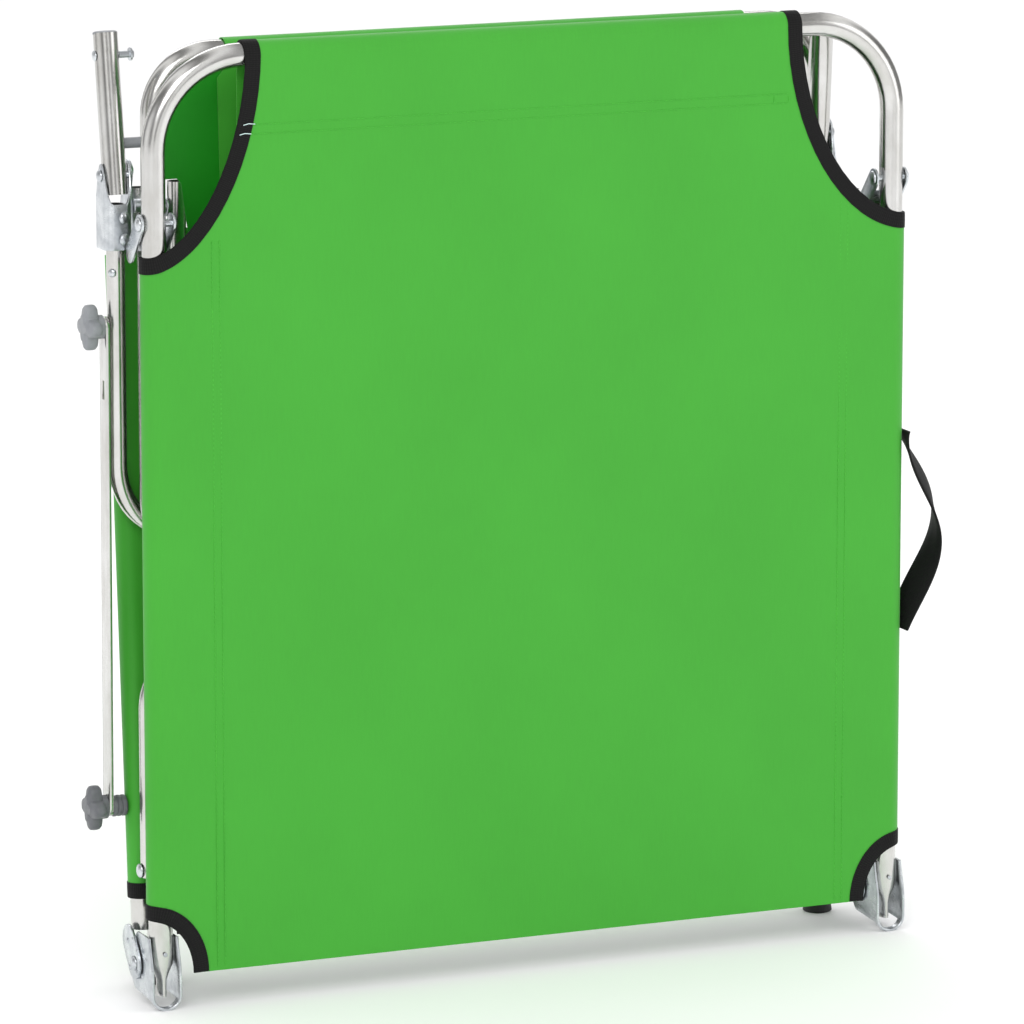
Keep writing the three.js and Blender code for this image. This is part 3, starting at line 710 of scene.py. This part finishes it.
def rope(build, path, radius, sides=10):
    """A round bead along a path, closed at both ends."""
    oblique = Vector((0.31, 0.87, 0.38))
    rings = []
    for i, travelled in enumerate(distances(path)):
        tangent = tangent_at(path, i)
        side = tangent.cross(oblique).normalized()
        up = tangent.cross(side)
        rings.append(build.ring(path[i], side * radius, up * radius, radius, travelled, sides))
    build.solid(rings)


def leg_bracket(side):
    """Two cheeks from the front tube down to the front leg, joined by a bridge behind the tube."""
    node = f"front_leg_bracket_{side}"
    low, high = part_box(node)
    pivot = middle(f"front_leg_pin_{side}")
    sheet, inset = 1.6 * MM, 7.5 * MM
    build = Builder()
    outline = capsule((pivot.y, pivot.z), (high.y - inset, low.z + inset), inset - 0.1 * MM)
    for x0 in (low.x, high.x - sheet):
        plate(build, outline, x0, x0 + sheet)
    y = pivot.y + 9.7 * MM
    slab(build, low.x + 0.1 * MM, high.x - 0.1 * MM, y, y + 1.4 * MM, pivot.z - 21 * MM, pivot.z - 11 * MM)
    build.piece(node, "plates", ZINC, bevel=0.3 * MM)


def upper_bracket(side, hand):
    """A plate beside the middle rail that carries the upper leg, with a stud to hold it off."""
    node = f"upper_leg_bracket_{side}"
    low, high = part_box(node)
    pivot = middle(f"upper_leg_pin_{side}")
    rail_y, stud_r = high.y - 7 * MM, 5 * MM
    face = high.x if hand < 0 else low.x
    build = Builder()
    plate(build, capsule((pivot.y, pivot.z), (rail_y, pivot.z), 6.9 * MM), face, face + hand * 1.6 * MM)
    reach = high.x - low.x
    profile = [(0, 0), (stud_r, 0), (stud_r, reach), (0, reach)]
    turned(build, profile, (face, rail_y, pivot.z), (hand, 0, 0))
    build.piece(node, "plate", ZINC, bevel=0.3 * MM)


def rear_hinge(side):
    """The two round-ended plates that meet at the rear hinge's pin."""
    pin = middle(f"rear_hinge_pin_{side}")
    inset = 8.5 * MM
    for part in ("fixed", "moving"):
        node = f"rear_hinge_{part}_{side}"
        low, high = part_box(node)
        far_y = low.y + inset if part == "fixed" else high.y - inset
        build = Builder()
        plate(build, capsule((far_y, low.z + inset), (pin.y, pin.z), inset - 0.1 * MM), low.x, high.x)
        build.piece(node, "plate", ZINC, bevel=0.3 * MM)


def circle(y, z, radius, steps=20):
    angles = [2 * math.pi * k / steps for k in range(steps)]
    return [(y + radius * math.cos(angle), z + radius * math.sin(angle)) for angle in angles]


def canopy_arm(side):
    """A flat bar with round ends, a slot below its upper knob and a bore for each knob's screw."""
    node = f"canopy_arm_{side}"
    low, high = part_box(node)
    top, bottom = middle(f"upper_knob_{side}"), middle(f"lower_knob_{side}")
    slot_y, slot_z, half_wide, half_tall = top.y + 0.5 * MM, top.z - 47 * MM, 2.5 * MM, 7 * MM
    corners = ((-1, -1), (1, -1), (1, 1), (-1, 1))
    slot = [(slot_y + a * half_wide, slot_z + b * half_tall) for a, b in corners]
    bores = [circle(end.y, end.z, 3.3 * MM) for end in (top, bottom)]
    outline = capsule((bottom.y, bottom.z), (top.y, top.z), 7.4 * MM)
    build = Builder()
    plate(build, outline, low.x, high.x, (slot, *bores))
    build.piece(node, "bar", TUBE, bevel=0.4 * MM)


def knuckle(side):
    """The bent-sheet yoke on the canopy's lower hoop: two ears with a scooped rim between them."""
    node = f"knuckle_{side}"
    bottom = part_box(node)[0].z
    pin = middle(f"knuckle_pin_{side}")
    x, half, corner, rim = middle(node).x, 10.2 * MM, 6 * MM, bottom + 33 * MM
    profile = [(-half, half - k * (2 * half - corner) / 10) for k in range(10)]
    for first, cx in ((math.pi, -half + corner), (1.5 * math.pi, half - corner)):
        for k in range(9):
            a = first + math.pi / 2 * k / 8
            profile.append((cx + corner * math.cos(a), -half + corner + corner * math.sin(a)))
    profile += [(half, -half + corner + k * (2 * half - corner) / 10) for k in range(1, 11)]
    build = Builder()
    columns, steps = [], 14
    for (px, py), travelled in zip(profile, distances(profile)):
        cheek = smooth((abs(px) - half + corner) / corner)
        ear = rim + 30 * MM * max(0.0, math.cos(math.pi / 2 * min(1.0, abs(py) / half))) ** 0.75
        dip = rim + 5 * MM * (px / half) ** 2
        top = dip + (max(ear, dip) - dip) * cheek
        column = []
        for k in range(steps + 1):
            point = (x + px, pin.y + py, bottom + (top - bottom) * k / steps)
            column.append(build.add(point, (travelled, top * k / steps)))
        columns.append(column)
    build.rings(columns, closed=False)
    build.piece(node, "yoke", ZINC, thickness=1.4 * MM, bevel=0.3 * MM)
    studs = Builder()
    for z in (bottom + 8 * MM, bottom + 24 * MM):
        domed(studs, (x + 3.4 * MM, pin.y - half - 0.5 * MM, z), (0.35, -1, 0), 4.6 * MM, 2.6 * MM)
    domed(studs, (x - 4.5 * MM, pin.y - 5.4 * MM, bottom - 17 * MM), (-0.6, -0.8, 0), 3.2 * MM, 1.8 * MM)
    studs.piece(node, "rivets", ZINC, extra=True)


for side, hand in SIDES:
    front_shoe(side, hand)
    middle_shoe(side, hand)
    leg_bracket(side)
    upper_bracket(side, hand)
    rear_hinge(side)
    canopy_arm(side)
    knuckle(side)


# ---- knobs, caps, feet and other turned pieces ----
def winged_knob(node, material, hand):
    """Four soft wings on a round hub, with the screw's end in the outer face."""
    low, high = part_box(node)
    reach = (high.z - low.z) / 2
    centre = middle(node)
    outer, inner = (low.x, high.x) if hand < 0 else (high.x, low.x)
    # The wings' share of their full reach at depths below the face, in millimetres.
    wings = ((0, 0.55), (1, 0.62), (2, 0.9), (3.2, 0.98), (5.5, 1), (8, 1), (10, 0.97), (11.3, 0.88))
    steps = 64
    build = Builder()
    rings = []
    for depth, share in wings:
        ring = []
        for k in range(steps):
            angle = 2 * math.pi * k / steps
            lobe = 0.5 + 0.5 * math.cos(4 * angle)
            radius = reach * share * (0.56 + 0.44 * lobe ** 0.8)
            y, z = centre.y + radius * math.cos(angle), centre.z + radius * math.sin(angle)
            ring.append(build.add((outer - hand * depth * MM, y, z), (radius * angle, depth)))
        rings.append(ring)
    build.solid(rings)
    hub, hub_length = reach * 0.52, 5.2 * MM
    profile = [(0, 0), (hub, 0), (hub, hub_length - 0.6 * MM), (hub * 0.9, hub_length), (0, hub_length)]
    turned(build, profile, (outer - hand * 16 * MM, centre.y, centre.z), (hand, 0, 0))
    build.piece(node, "wings", material, bevel=0.4 * MM)
    length = abs(inner - outer) - 2 * MM
    profile = [(0, 0), (2.6 * MM, 0), (2.8 * MM, 0.5 * MM), (2.8 * MM, length), (0, length)]
    start = (outer - hand * MM, centre.y, centre.z)
    turned_piece(node, "screw", ZINC, profile, start, (-hand, 0, 0), 18, extra=True)


def support_cap(side):
    """The plug in a support tube's end, set along the tube's lean."""
    low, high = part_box(f"support_tube_{side}")
    lean = (high.y - low.y - 2 * TUBE_R) * (1 if side == "left" else -1)
    profile = in_millimetres([(0, -1.2), (9.0, -1.2), (9.2, -0.4), (8.8, 0.5), (7.0, 1.2), (0, 1.5)])
    node = f"support_cap_{side}"
    turned_piece(node, "plug", GRAY, profile, middle(node), (0, lean, high.z - low.z), 32)


def arm_spacer(side):
    """A stack of three discs between an arm and the frame."""
    node = f"arm_spacer_{side}"
    at, length = left_end(node)
    profile = [(0, 0), (7.4 * MM, 0)]
    for k in range(3):
        for radius, share in ((8, 0.1), (8, 0.26), (6.8, 0.3)):
            profile.append((radius * MM, length * (k / 3 + share)))
    profile += [(7.4 * MM, length), (0, length)]
    turned_piece(node, "discs", DARK_GRAY, profile, at, (1, 0, 0), 32)


def rear_foot(side):
    """The ribbed cap on a rear rail, with the flat sole that the folded cot stands on."""
    node = f"rear_foot_{side}"
    at = middle(node)
    at.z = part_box(node)[0].z
    sole = [(0, 0), (10.6, 0), (11.4, 0.9), (11.0, 4)]
    cuff = [(10.6, 6), (11.0, 6.4), (10.5, 9), (10.2, 13.6), (0, 13.6)]
    turned_piece(node, "cap", BLACK, in_millimetres(sole + cuff), at, (0, 0, 1), 36)


def canopy_spacer():
    at, length = left_end("canopy_spacer")
    radius, chamfer = 4 * MM, 0.4 * MM
    ends = [(0, 0), (radius - chamfer, 0), (radius, chamfer)]
    profile = ends + [(r, length - h) for r, h in reversed(ends)]
    turned_piece("canopy_spacer", "rod", GRAY, profile, at, (1, 0, 0))


def support_peg():
    """The collared peg beside the left support tube, with a rivet head at the tube's far side."""
    at, length = left_end("support_peg")
    collar = [(4.6, 8.2), (5, 8.7), (5, 9.4), (4.6, 9.9)]
    shape = [(0, 0), (2.6, 0), (2.6, 8), *collar, (2.8, 10), (2.8, 11.2), (0, 12)]
    stretch = length / shape[-1][1]
    build = Builder()
    turned(build, [(radius * MM, height * stretch) for radius, height in shape], at, (1, 0, 0))
    domed(build, (at.x - 18.4 * MM, at.y, at.z), (-1, 0, 0), 4 * MM, 1.6 * MM)
    build.piece("support_peg", "pin", ZINC)


for side, hand in SIDES:
    winged_knob(f"upper_knob_{side}", GRAY, hand)
    winged_knob(f"lower_knob_{side}", DARK_GRAY, -1)
for side, _ in SIDES:
    support_cap(side)
    arm_spacer(side)
    rear_foot(side)
canopy_spacer()
support_peg()


# ---- sling cloth ----
class Sling:
    """One sheet stretched over two rails, wrapped round them and sewn back as flaps, with scooped corners.
    Its own frame has the rails' plane at y = 0; face is -1 where the panel is in front of the rails."""

    def __init__(self, rail_x, face, bottom, top, scoops, flap, over_bar=0.0):
        self.rail_x, self.face, self.bottom, self.top = rail_x, face, bottom, top
        self.top_scoops, self.bottom_scoop = {-1: scoops[0], 1: scoops[1]}, scoops[2]
        self.flap, self.over_bar = flap, over_bar
        self.edge = rail_x + SLEEVE_R
        self.wrap = math.pi * SLEEVE_R
        self.bar_x = {hand: self.edge - scoop[0] for hand, scoop in self.top_scoops.items()}

    def section(self, s):
        """The point (x, y) and outward normal at s along the unrolled width, from the panel's middle."""
        sign, s = (1, s) if s >= 0 else (-1, -s)
        if s <= self.rail_x:
            x, y, normal = s, SLEEVE_R, (0, 1)
        elif s <= self.rail_x + self.wrap:
            angle = (s - self.rail_x) / SLEEVE_R
            normal = (math.sin(angle), math.cos(angle))
            x, y = self.rail_x + SLEEVE_R * normal[0], SLEEVE_R * normal[1]
        else:
            x, y, normal = self.rail_x - (s - self.rail_x - self.wrap), -SLEEVE_R, (0, -1)
        return (sign * x, y * self.face), (sign * normal[0], normal[1] * self.face)

    def drop(self, x, scoop):
        across, along, power = scoop
        share = min(max((self.edge - abs(x)) / across, 0.0), 1.0)
        return along * (1 - share ** power) ** (1 / power)

    def limits(self, s):
        """The sheet's lowest and highest point at s. Behind the rail it is cut flat, below the scoop."""
        x = self.edge if abs(s) > self.rail_x + self.wrap / 2 else self.section(s)[0][0]
        top_scoop = self.top_scoops[1 if s > 0 else -1]
        return self.bottom + self.drop(x, self.bottom_scoop), self.top - self.drop(x, top_scoop)

    def half_stations(self, hand):
        """Unrolled positions of the columns on one half, close together where the scoops are steep."""
        panel = {0.0, self.rail_x}
        for scoop in (self.top_scoops[hand], self.bottom_scoop):
            for k in range(17):
                x = self.edge - scoop[0] * math.cos(math.pi / 2 * k / 16) ** (2 / scoop[2])
                if x < self.rail_x - 0.3 * MM:
                    panel.add(round(x, 6))
        first = min(x for x in panel if x > 0)
        panel.update(first * k / 24 for k in range(1, 24))
        outer = [self.rail_x + self.wrap * k / 14 for k in range(1, 15)]
        last = self.rail_x + self.wrap
        outer += [last + self.flap * k / 8 for k in range(1, 9)]
        return sorted(panel) + outer

    def stations(self):
        return [-s for s in reversed(self.half_stations(-1)[1:])] + self.half_stations(1)

    def point(self, s, z, lift=0.0):
        (x, y), (nx, ny) = self.section(s)
        return Vector((x + nx * lift, y + ny * lift, z))

    def bar_path(self, z):
        """The sheet's course over the top bar, from the panel's top edge down to the hem behind."""
        course = []
        for k in range(1, 17):
            angle = math.pi * k / 16
            course.append((self.face * SLEEVE_R * math.cos(angle), z + SLEEVE_R * math.sin(angle)))
        for k in range(1, 9):
            course.append((-self.face * SLEEVE_R, z - self.over_bar * k / 8))
        return course

    def flat_area(self):
        stations = self.stations()
        area = 0.0
        for a, b in zip(stations, stations[1:]):
            heights = [high - low for low, high in (self.limits(a), self.limits(b))]
            area += (b - a) * sum(heights) / 2
        if self.over_bar:
            area += sum(self.bar_x.values()) * (self.wrap + self.over_bar)
        return area


ROWS = 48


def ripple(s, z, amount):
    """A taut cloth's slight waves across the panel, broad and finer ones mixed."""
    broad = math.sin(9 * s + 4 * z) * math.sin(7 * z + 1.3) + 0.5 * math.sin(23 * z + 11 * s)
    return amount * broad


def sling_piece(node, sling, place):
    """The sheet: its panel, sleeves and flaps, and the stretch that goes over the top bar."""
    build = Builder()
    columns = []
    for s in sling.stations():
        low, high = sling.limits(s)
        inside = smooth((sling.rail_x - abs(s)) / (40 * MM))
        column = []
        for k in range(ROWS + 1):
            z = low + (high - low) * k / ROWS
            calm = smooth((k / ROWS) / 0.05) * smooth((1 - k / ROWS) / 0.05)
            column.append(build.add(sling.point(s, z, ripple(s, z, 0.35 * MM) * inside * calm), (s, z)))
        if sling.over_bar and abs(s) <= sling.bar_x[1 if s > 0 else -1] + 1e-6:
            x = sling.section(s)[0][0]
            for k, (y, z) in enumerate(sling.bar_path(high)):
                column.append(build.add((x, y, z), (s, high + (k + 1) * 2 * MM)))
        columns.append(column)
    for before, after in zip(columns, columns[1:]):
        for k in range(min(len(before), len(after)) - 1):
            build.face(before[k], before[k + 1], after[k + 1], after[k])
    return build.piece(node, "cloth", GREEN, thickness=CLOTH, place=place)


def tape_piece(node, runs, place):
    """Woven tape folded over cloth edges. Each run is a list of (edge point, inward, normal)."""
    half = ((TAPE_WIDTH, 1), (TAPE_WIDTH * 0.5, 1.06), (0, 1), (-0.7 * MM, 0.72))
    section = (*half, (-1.0 * MM, 0), *((a, -b) for a, b in reversed(half)))
    build = Builder()
    for run in runs:
        rings = []
        for (point, inward, normal), travelled in zip(run, distances([edge[0] for edge in run])):
            rings.append([
                build.add(point + inward * a + normal * b * TAPE_HALF, (a + 0.02 * (b < 0), travelled))
                for a, b in section])
        build.solid(rings)
    return build.piece(node, "binding", TAPE, extra=True, place=place)


def edge_run(sling, hand, at_top):
    """The taped edge of one corner: up over the bar where the sheet has one, then round the scoop."""
    scoop = sling.top_scoops[hand] if at_top else sling.bottom_scoop
    first, last = sling.edge - scoop[0] - 1e-6, sling.rail_x + sling.wrap
    points, normals = [], []
    for s in sorted((s for s in sling.stations() if first <= s * hand <= last), key=abs):
        points.append(sling.point(s, sling.limits(s)[1 if at_top else 0]))
        normals.append(Vector((*sling.section(s)[1], 0)))
    run = []
    if at_top and sling.over_bar:
        x = hand * sling.bar_x[hand]
        course = [(y, z) for y, z in sling.bar_path(sling.top) if z > sling.top - 4 * MM]
        for y, z in reversed(course):
            outward = Vector((0, y, z - sling.top)) if z > sling.top else Vector((0, -sling.face, 0))
            run.append((Vector((x, y, z)), Vector((-hand, 0, 0)), outward.normalized()))
    for i, (point, normal) in enumerate(zip(points, normals)):
        inward = normal.cross(tangent_at(points, i)).normalized()
        if inward.dot(Vector((-hand * 0.5, 0, -1 if at_top else 1))) < 0:
            inward.negate()
        run.append((point, inward, normal))
    return run


def stitches(node, lines, place, pitch=3.6 * MM):
    """Thread laid as short raised stitches. Each line is (start, end, outward)."""
    build = Builder()
    for start, end, outward in lines:
        count = max(1, int((end - start).length / pitch))
        lift = outward * 0.22 * MM
        for k in range(count):
            a = start.lerp(end, (k + 0.12) / count)
            b = start.lerp(end, (k + 0.80) / count)
            path = [a - lift, a.lerp(b, 0.25) + lift, a.lerp(b, 0.75) + lift, b - lift]
            rope(build, path, THREAD_R, 6)
    return build.piece(node, "stitching", GREEN_THREAD, extra=True, place=place)


def seam_lines(sling, offsets, low, high):
    """Vertical seams on the panel, at distances inside each rail."""
    y = sling.face * (SLEEVE_R + CLOTH / 2)
    outward = Vector((0, sling.face, 0))
    places = [hand * (sling.rail_x - offset) for hand in (-1, 1) for offset in offsets]
    return [(Vector((x, y, low)), Vector((x, y, high)), outward) for x in places]


def place_of(rail):
    """The matrix that leans a sling with its rails, taken from the rail's box."""
    low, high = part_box(rail)
    slope = (high.y - low.y - 2 * TUBE_R) / (high.z - low.z)
    base = low.y + TUBE_R - slope * low.z
    return Matrix.Translation((0, base, 0)) @ Matrix.Rotation(-math.atan(slope), 4, "X")


def front_sling():
    """The front sheet: it goes over the frame's top bar, and its hem is sewn down behind."""
    node = "front_sling"
    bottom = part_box(node)[0].z
    tube_low, tube_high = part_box("front_frame")
    centre = middle("front_frame")
    top, seam, hem = tube_high.z - TUBE_R, 50 * MM, 57 * MM
    sling = Sling((tube_high.x - tube_low.x) / 2 - TUBE_R, -1, bottom, top, FRONT_SCOOPS, WIDE_FLAP, 56 * MM)
    place = Matrix.Translation((centre.x, centre.y, 0))
    sheet = sling_piece(node, sling, place)
    runs = [edge_run(sling, hand, at_top) for hand in (-1, 1) for at_top in (True, False)]
    tape = tape_piece(node, runs, place)
    lines = seam_lines(sling, (41 * MM, 47 * MM), bottom + 3 * MM, top - 133 * MM)
    y, forward = -(SLEEVE_R + CLOTH / 2), Vector((0, -1, 0))
    left, right, tack = -sling.bar_x[-1] + 2 * MM, sling.bar_x[1] - 10 * MM, 12 * MM
    for drop in (seam, hem):
        lines.append((Vector((left, y, top - drop)), Vector((right, y, top - drop)), forward))
    for x in (right - tack, right):
        lines.append((Vector((x, y, top - hem)), Vector((x, y, top - seam)), forward))
    thread = stitches(node, lines, place)
    loose = Builder()
    for aside, drop in ((3 * MM, seam), (6 * MM, hem)):
        start = Vector((-sling.bar_x[-1] - aside, y - 0.9 * MM, top - drop))
        bow, end = Vector((4, -0.3, 1)) * MM, Vector((9, 0, 0.4)) * MM
        rope(loose, [start, start + bow, start + end], 0.35 * MM)
    ends = loose.piece(node, "thread_ends", WHITE_THREAD, extra=True, place=place)
    sling.flat_area()


def leaning_sling(node, rail, face, low_z, high_z, scoops):
    """A sheet on two leaning rails. The middle one has no tape at its top corners."""
    centre_x = middle("front_frame").x
    place = Matrix.Translation((centre_x, 0, 0)) @ place_of(f"{rail}_left")
    sling = Sling(middle(f"{rail}_right").x - centre_x, face, low_z, high_z, scoops, NARROW_FLAP)
    sheet = sling_piece(node, sling, place)
    taped_tops = (True, False) if node == "rear_sling" else (False,)
    runs = [edge_run(sling, hand, at_top) for hand in (-1, 1) for at_top in taped_tops]
    tape = tape_piece(node, runs, place)
    lines = seam_lines(sling, (17 * MM, 22 * MM), low_z + 50 * MM, high_z - 62 * MM)
    thread = stitches(node, lines, place, 4.5 * MM)
    sling.flat_area()


front_sling()
leaning_sling("middle_sling", "middle_rail", 1, 42 * MM, 570 * MM, MIDDLE_SCOOPS)
leaning_sling("rear_sling", "rear_rail", -1, 137 * MM, 575 * MM, REAR_SCOOPS)


# ---- canopy cloth ----
def canopy_cloth():
    """The roof sheet: round the upper bar, down a shallow curve, and round the lower bar."""
    upper, lower = middle("canopy_upper_hoop"), middle("canopy_lower_hoop")
    z_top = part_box("canopy_upper_hoop")[1].z - TUBE_R
    z_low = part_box("canopy_lower_hoop")[0].z + THIN_TUBE_R
    upper_r, lower_r = SLEEVE_R, THIN_TUBE_R + 1.1 * MM
    course = [(upper.y + upper_r * 0.98, z_top - 52 * MM), (upper.y + upper_r, z_top - 30 * MM)]
    for k in range(17):
        angle = math.pi * k / 16
        course.append((upper.y + upper_r * math.cos(angle), z_top + upper_r * math.sin(angle)))
    start_y = upper.y - upper_r
    slope = (lower.y - lower_r - start_y) / (z_top - z_low)
    for k in range(1, 40):
        drop = (z_top - z_low) * k / 40
        sag = 0.8 * MM * math.sin(math.pi * k / 40)
        course.append((start_y + slope * drop - sag, z_top - drop))
    for k in range(15):
        angle = math.pi + math.pi * k / 14
        course.append((lower.y + lower_r * math.cos(angle), z_low + lower_r * math.sin(angle)))
    course.append((lower.y + lower_r, z_low + 24 * MM))
    centre = middle("front_frame").x
    along = distances(course)
    columns, build, half_columns = [], Builder(), 30
    for i in range(-half_columns, half_columns + 1):
        column = []
        for (y, z), travelled in zip(course, along):
            narrow = 24 * MM * smooth((z_low + 40 * MM - z) / (30 * MM))
            left = ROOF_LEFT + 8 * MM * smooth((z_top - 12 * MM - z) / (4 * MM))
            x = i / half_columns * ((left if i < 0 else ROOF_RIGHT) - narrow)
            loose = smooth((z_top - 60 * MM - z) / (50 * MM)) * smooth((z - z_low - 20 * MM) / (50 * MM))
            column.append(build.add((centre + x, y + ripple(x, z, 0.5 * MM) * loose, z), (x, travelled)))
        columns.append(column)
    build.rings(columns, closed=False)
    sheet = build.piece("canopy_sheet", "cloth", GREEN, thickness=CLOTH)
    front = start_y - CLOTH / 2
    lines = []
    for drop in (52 * MM, 58 * MM):
        y, z = front + slope * drop, z_top - drop
        lines.append((Vector((-ROOF_LEFT, y, z)), Vector((ROOF_RIGHT, y, z)), Vector((0, -1, 0))))
    thread = stitches("canopy_sheet", lines, None, 4.5 * MM)
    side_wing(centre, z_top, front, slope)


def side_wing(centre, z_top, front, slope):
    """The wing beyond the sleeve's left end, cut to the hoop's inner bend. Its darker green is painted shade
    for cloth that lies in shadow.
    """
    inner_x, outer_x, bend = -ROOF_LEFT - 4 * MM, -274 * MM, 53 * MM
    build, columns = Builder(), []
    for k in range(17):
        x = inner_x + (outer_x - inner_x) * k / 16
        beyond = max(0.0, -x - ROOF_LEFT)
        top = z_top - 60.4 * MM + math.sqrt(max(bend ** 2 - beyond ** 2, 0.0))
        base = z_top - 140 * MM + 50 * MM * smooth((-x - 252 * MM) / (8 * MM))
        column = []
        for j in range(13):
            z = base + (top - base) * j / 12
            y = front + 2 * CLOTH + slope * (z_top - z)
            column.append(build.add((centre + x, y, z), (x, z)))
        columns.append(column)
    build.rings(columns, closed=False)
    wing = build.piece("canopy", "side_wing", SHADED_GREEN, extra=True, thickness=CLOTH)


canopy_cloth()


# ---- carry strap ----
def carry_strap():
    """Flat webbing sewn to the right sleeve at both ends, standing out in a loop with a quarter twist."""
    low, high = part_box("carry_strap")
    centre_y = middle("carry_strap").y
    start_x, bulge = low.x + 0.9 * MM, high.x - low.x - 2.2 * MM
    top, height = high.z - 1 * MM, high.z - low.z - 2 * MM
    width, thick, steps = 25 * MM, 0.9 * MM, 60
    path = []
    for k in range(steps + 1):
        t = k / steps
        path.append(Vector((start_x + bulge * math.sin(math.pi * t) ** 1.6, centre_y, top - height * t)))
    half = ((-1, -0.6), (-0.96, -1), (-0.3, -1), (0.3, -1), (0.96, -1), (1, -0.6))
    section = (*half, *((a, -b) for a, b in reversed(half)))
    along = distances(path)
    build, rings = Builder(), []
    for k, point in enumerate(path):
        t = k / steps
        tangent = tangent_at(path, k)
        twist = math.radians(52) * math.sin(math.pi * t) ** 0.8 * math.cos(math.pi * (t - 0.06))
        across = Matrix.Rotation(twist, 3, tangent) @ Vector((0, 1, 0))
        face = tangent.cross(across).normalized() * thick
        ring = []
        for a, b in section:
            aside = a * width / 2
            ring.append(build.add(point + across * aside + face * b, (aside + 0.05 * (b < 0), along[k])))
        rings.append(ring)
    build.solid(rings)
    strap = build.piece("carry_strap", "webbing", WEBBING)


carry_strap()


# ---- floor and light ----
def stage():
    bpy.ops.mesh.primitive_plane_add(size=14, location=(0, 0, 0))
    floor = bpy.context.object
    floor.name = "floor"
    s = Shader("floor")
    grain = s.noise((3, 3, 3), 3.0)
    color = s.ramp(grain, (0.94, 0.94, 0.94), (0.96, 0.96, 0.96))
    s.set(Specular_IOR_Level=0.1)
    floor.data.materials.append(s.finish(color, s.remap(grain, 0.8, 0.9), s.bump(grain, 0.2 * MM, 0.1)))


def area_light(name, location, size, energy):
    data = bpy.data.lights.new(name, "AREA")
    data.shape = "RECTANGLE"
    data.size, data.size_y = size
    data.energy = energy
    add_aimed(name, data, Vector(location), Vector((0, 0, 0.35)))


def lighting():
    """A white room. In shiny parts it reflects as soft bands, which draw the round tubes."""
    plain, darkest, brightest = 1.08, 0.22, 1.1
    world = bpy.data.worlds.new("studio")
    world.use_nodes = True
    nodes, links = world.node_tree.nodes, world.node_tree.links
    background = nodes["Background"]
    direction = nodes.new("ShaderNodeTexCoord").outputs["Generated"]
    bands = nodes.new("ShaderNodeTexWave")
    bands.bands_direction = "X"
    bands.inputs["Scale"].default_value = 0.55
    bands.inputs["Phase Offset"].default_value = 2.2
    tones = nodes.new("ShaderNodeMapRange")
    tones.inputs["To Min"].default_value = darkest
    tones.inputs["To Max"].default_value = brightest
    path = nodes.new("ShaderNodeLightPath")
    strength = nodes.new("ShaderNodeMix")
    strength.inputs[2].default_value = plain
    links.new(direction, bands.inputs["Vector"])
    links.new(bands.outputs["Fac"], tones.inputs["Value"])
    links.new(path.outputs["Is Glossy Ray"], strength.inputs[0])
    links.new(tones.outputs["Result"], strength.inputs[3])
    links.new(strength.outputs[0], background.inputs[1])
    background.inputs[0].default_value = (1.0, 1.0, 1.0, 1)
    bpy.context.scene.world = world
    area_light("key", (-1.6, -2.6, 2.4), (1.8, 1.8), 30)
    area_light("fill", (2.4, -2.0, 1.2), (1.5, 2.0), 10)
    area_light("rim", (0.6, 2.4, 2.2), (2.0, 1.0), 12)
    bpy.context.scene.view_settings.view_transform = "Standard"


stage()
lighting()
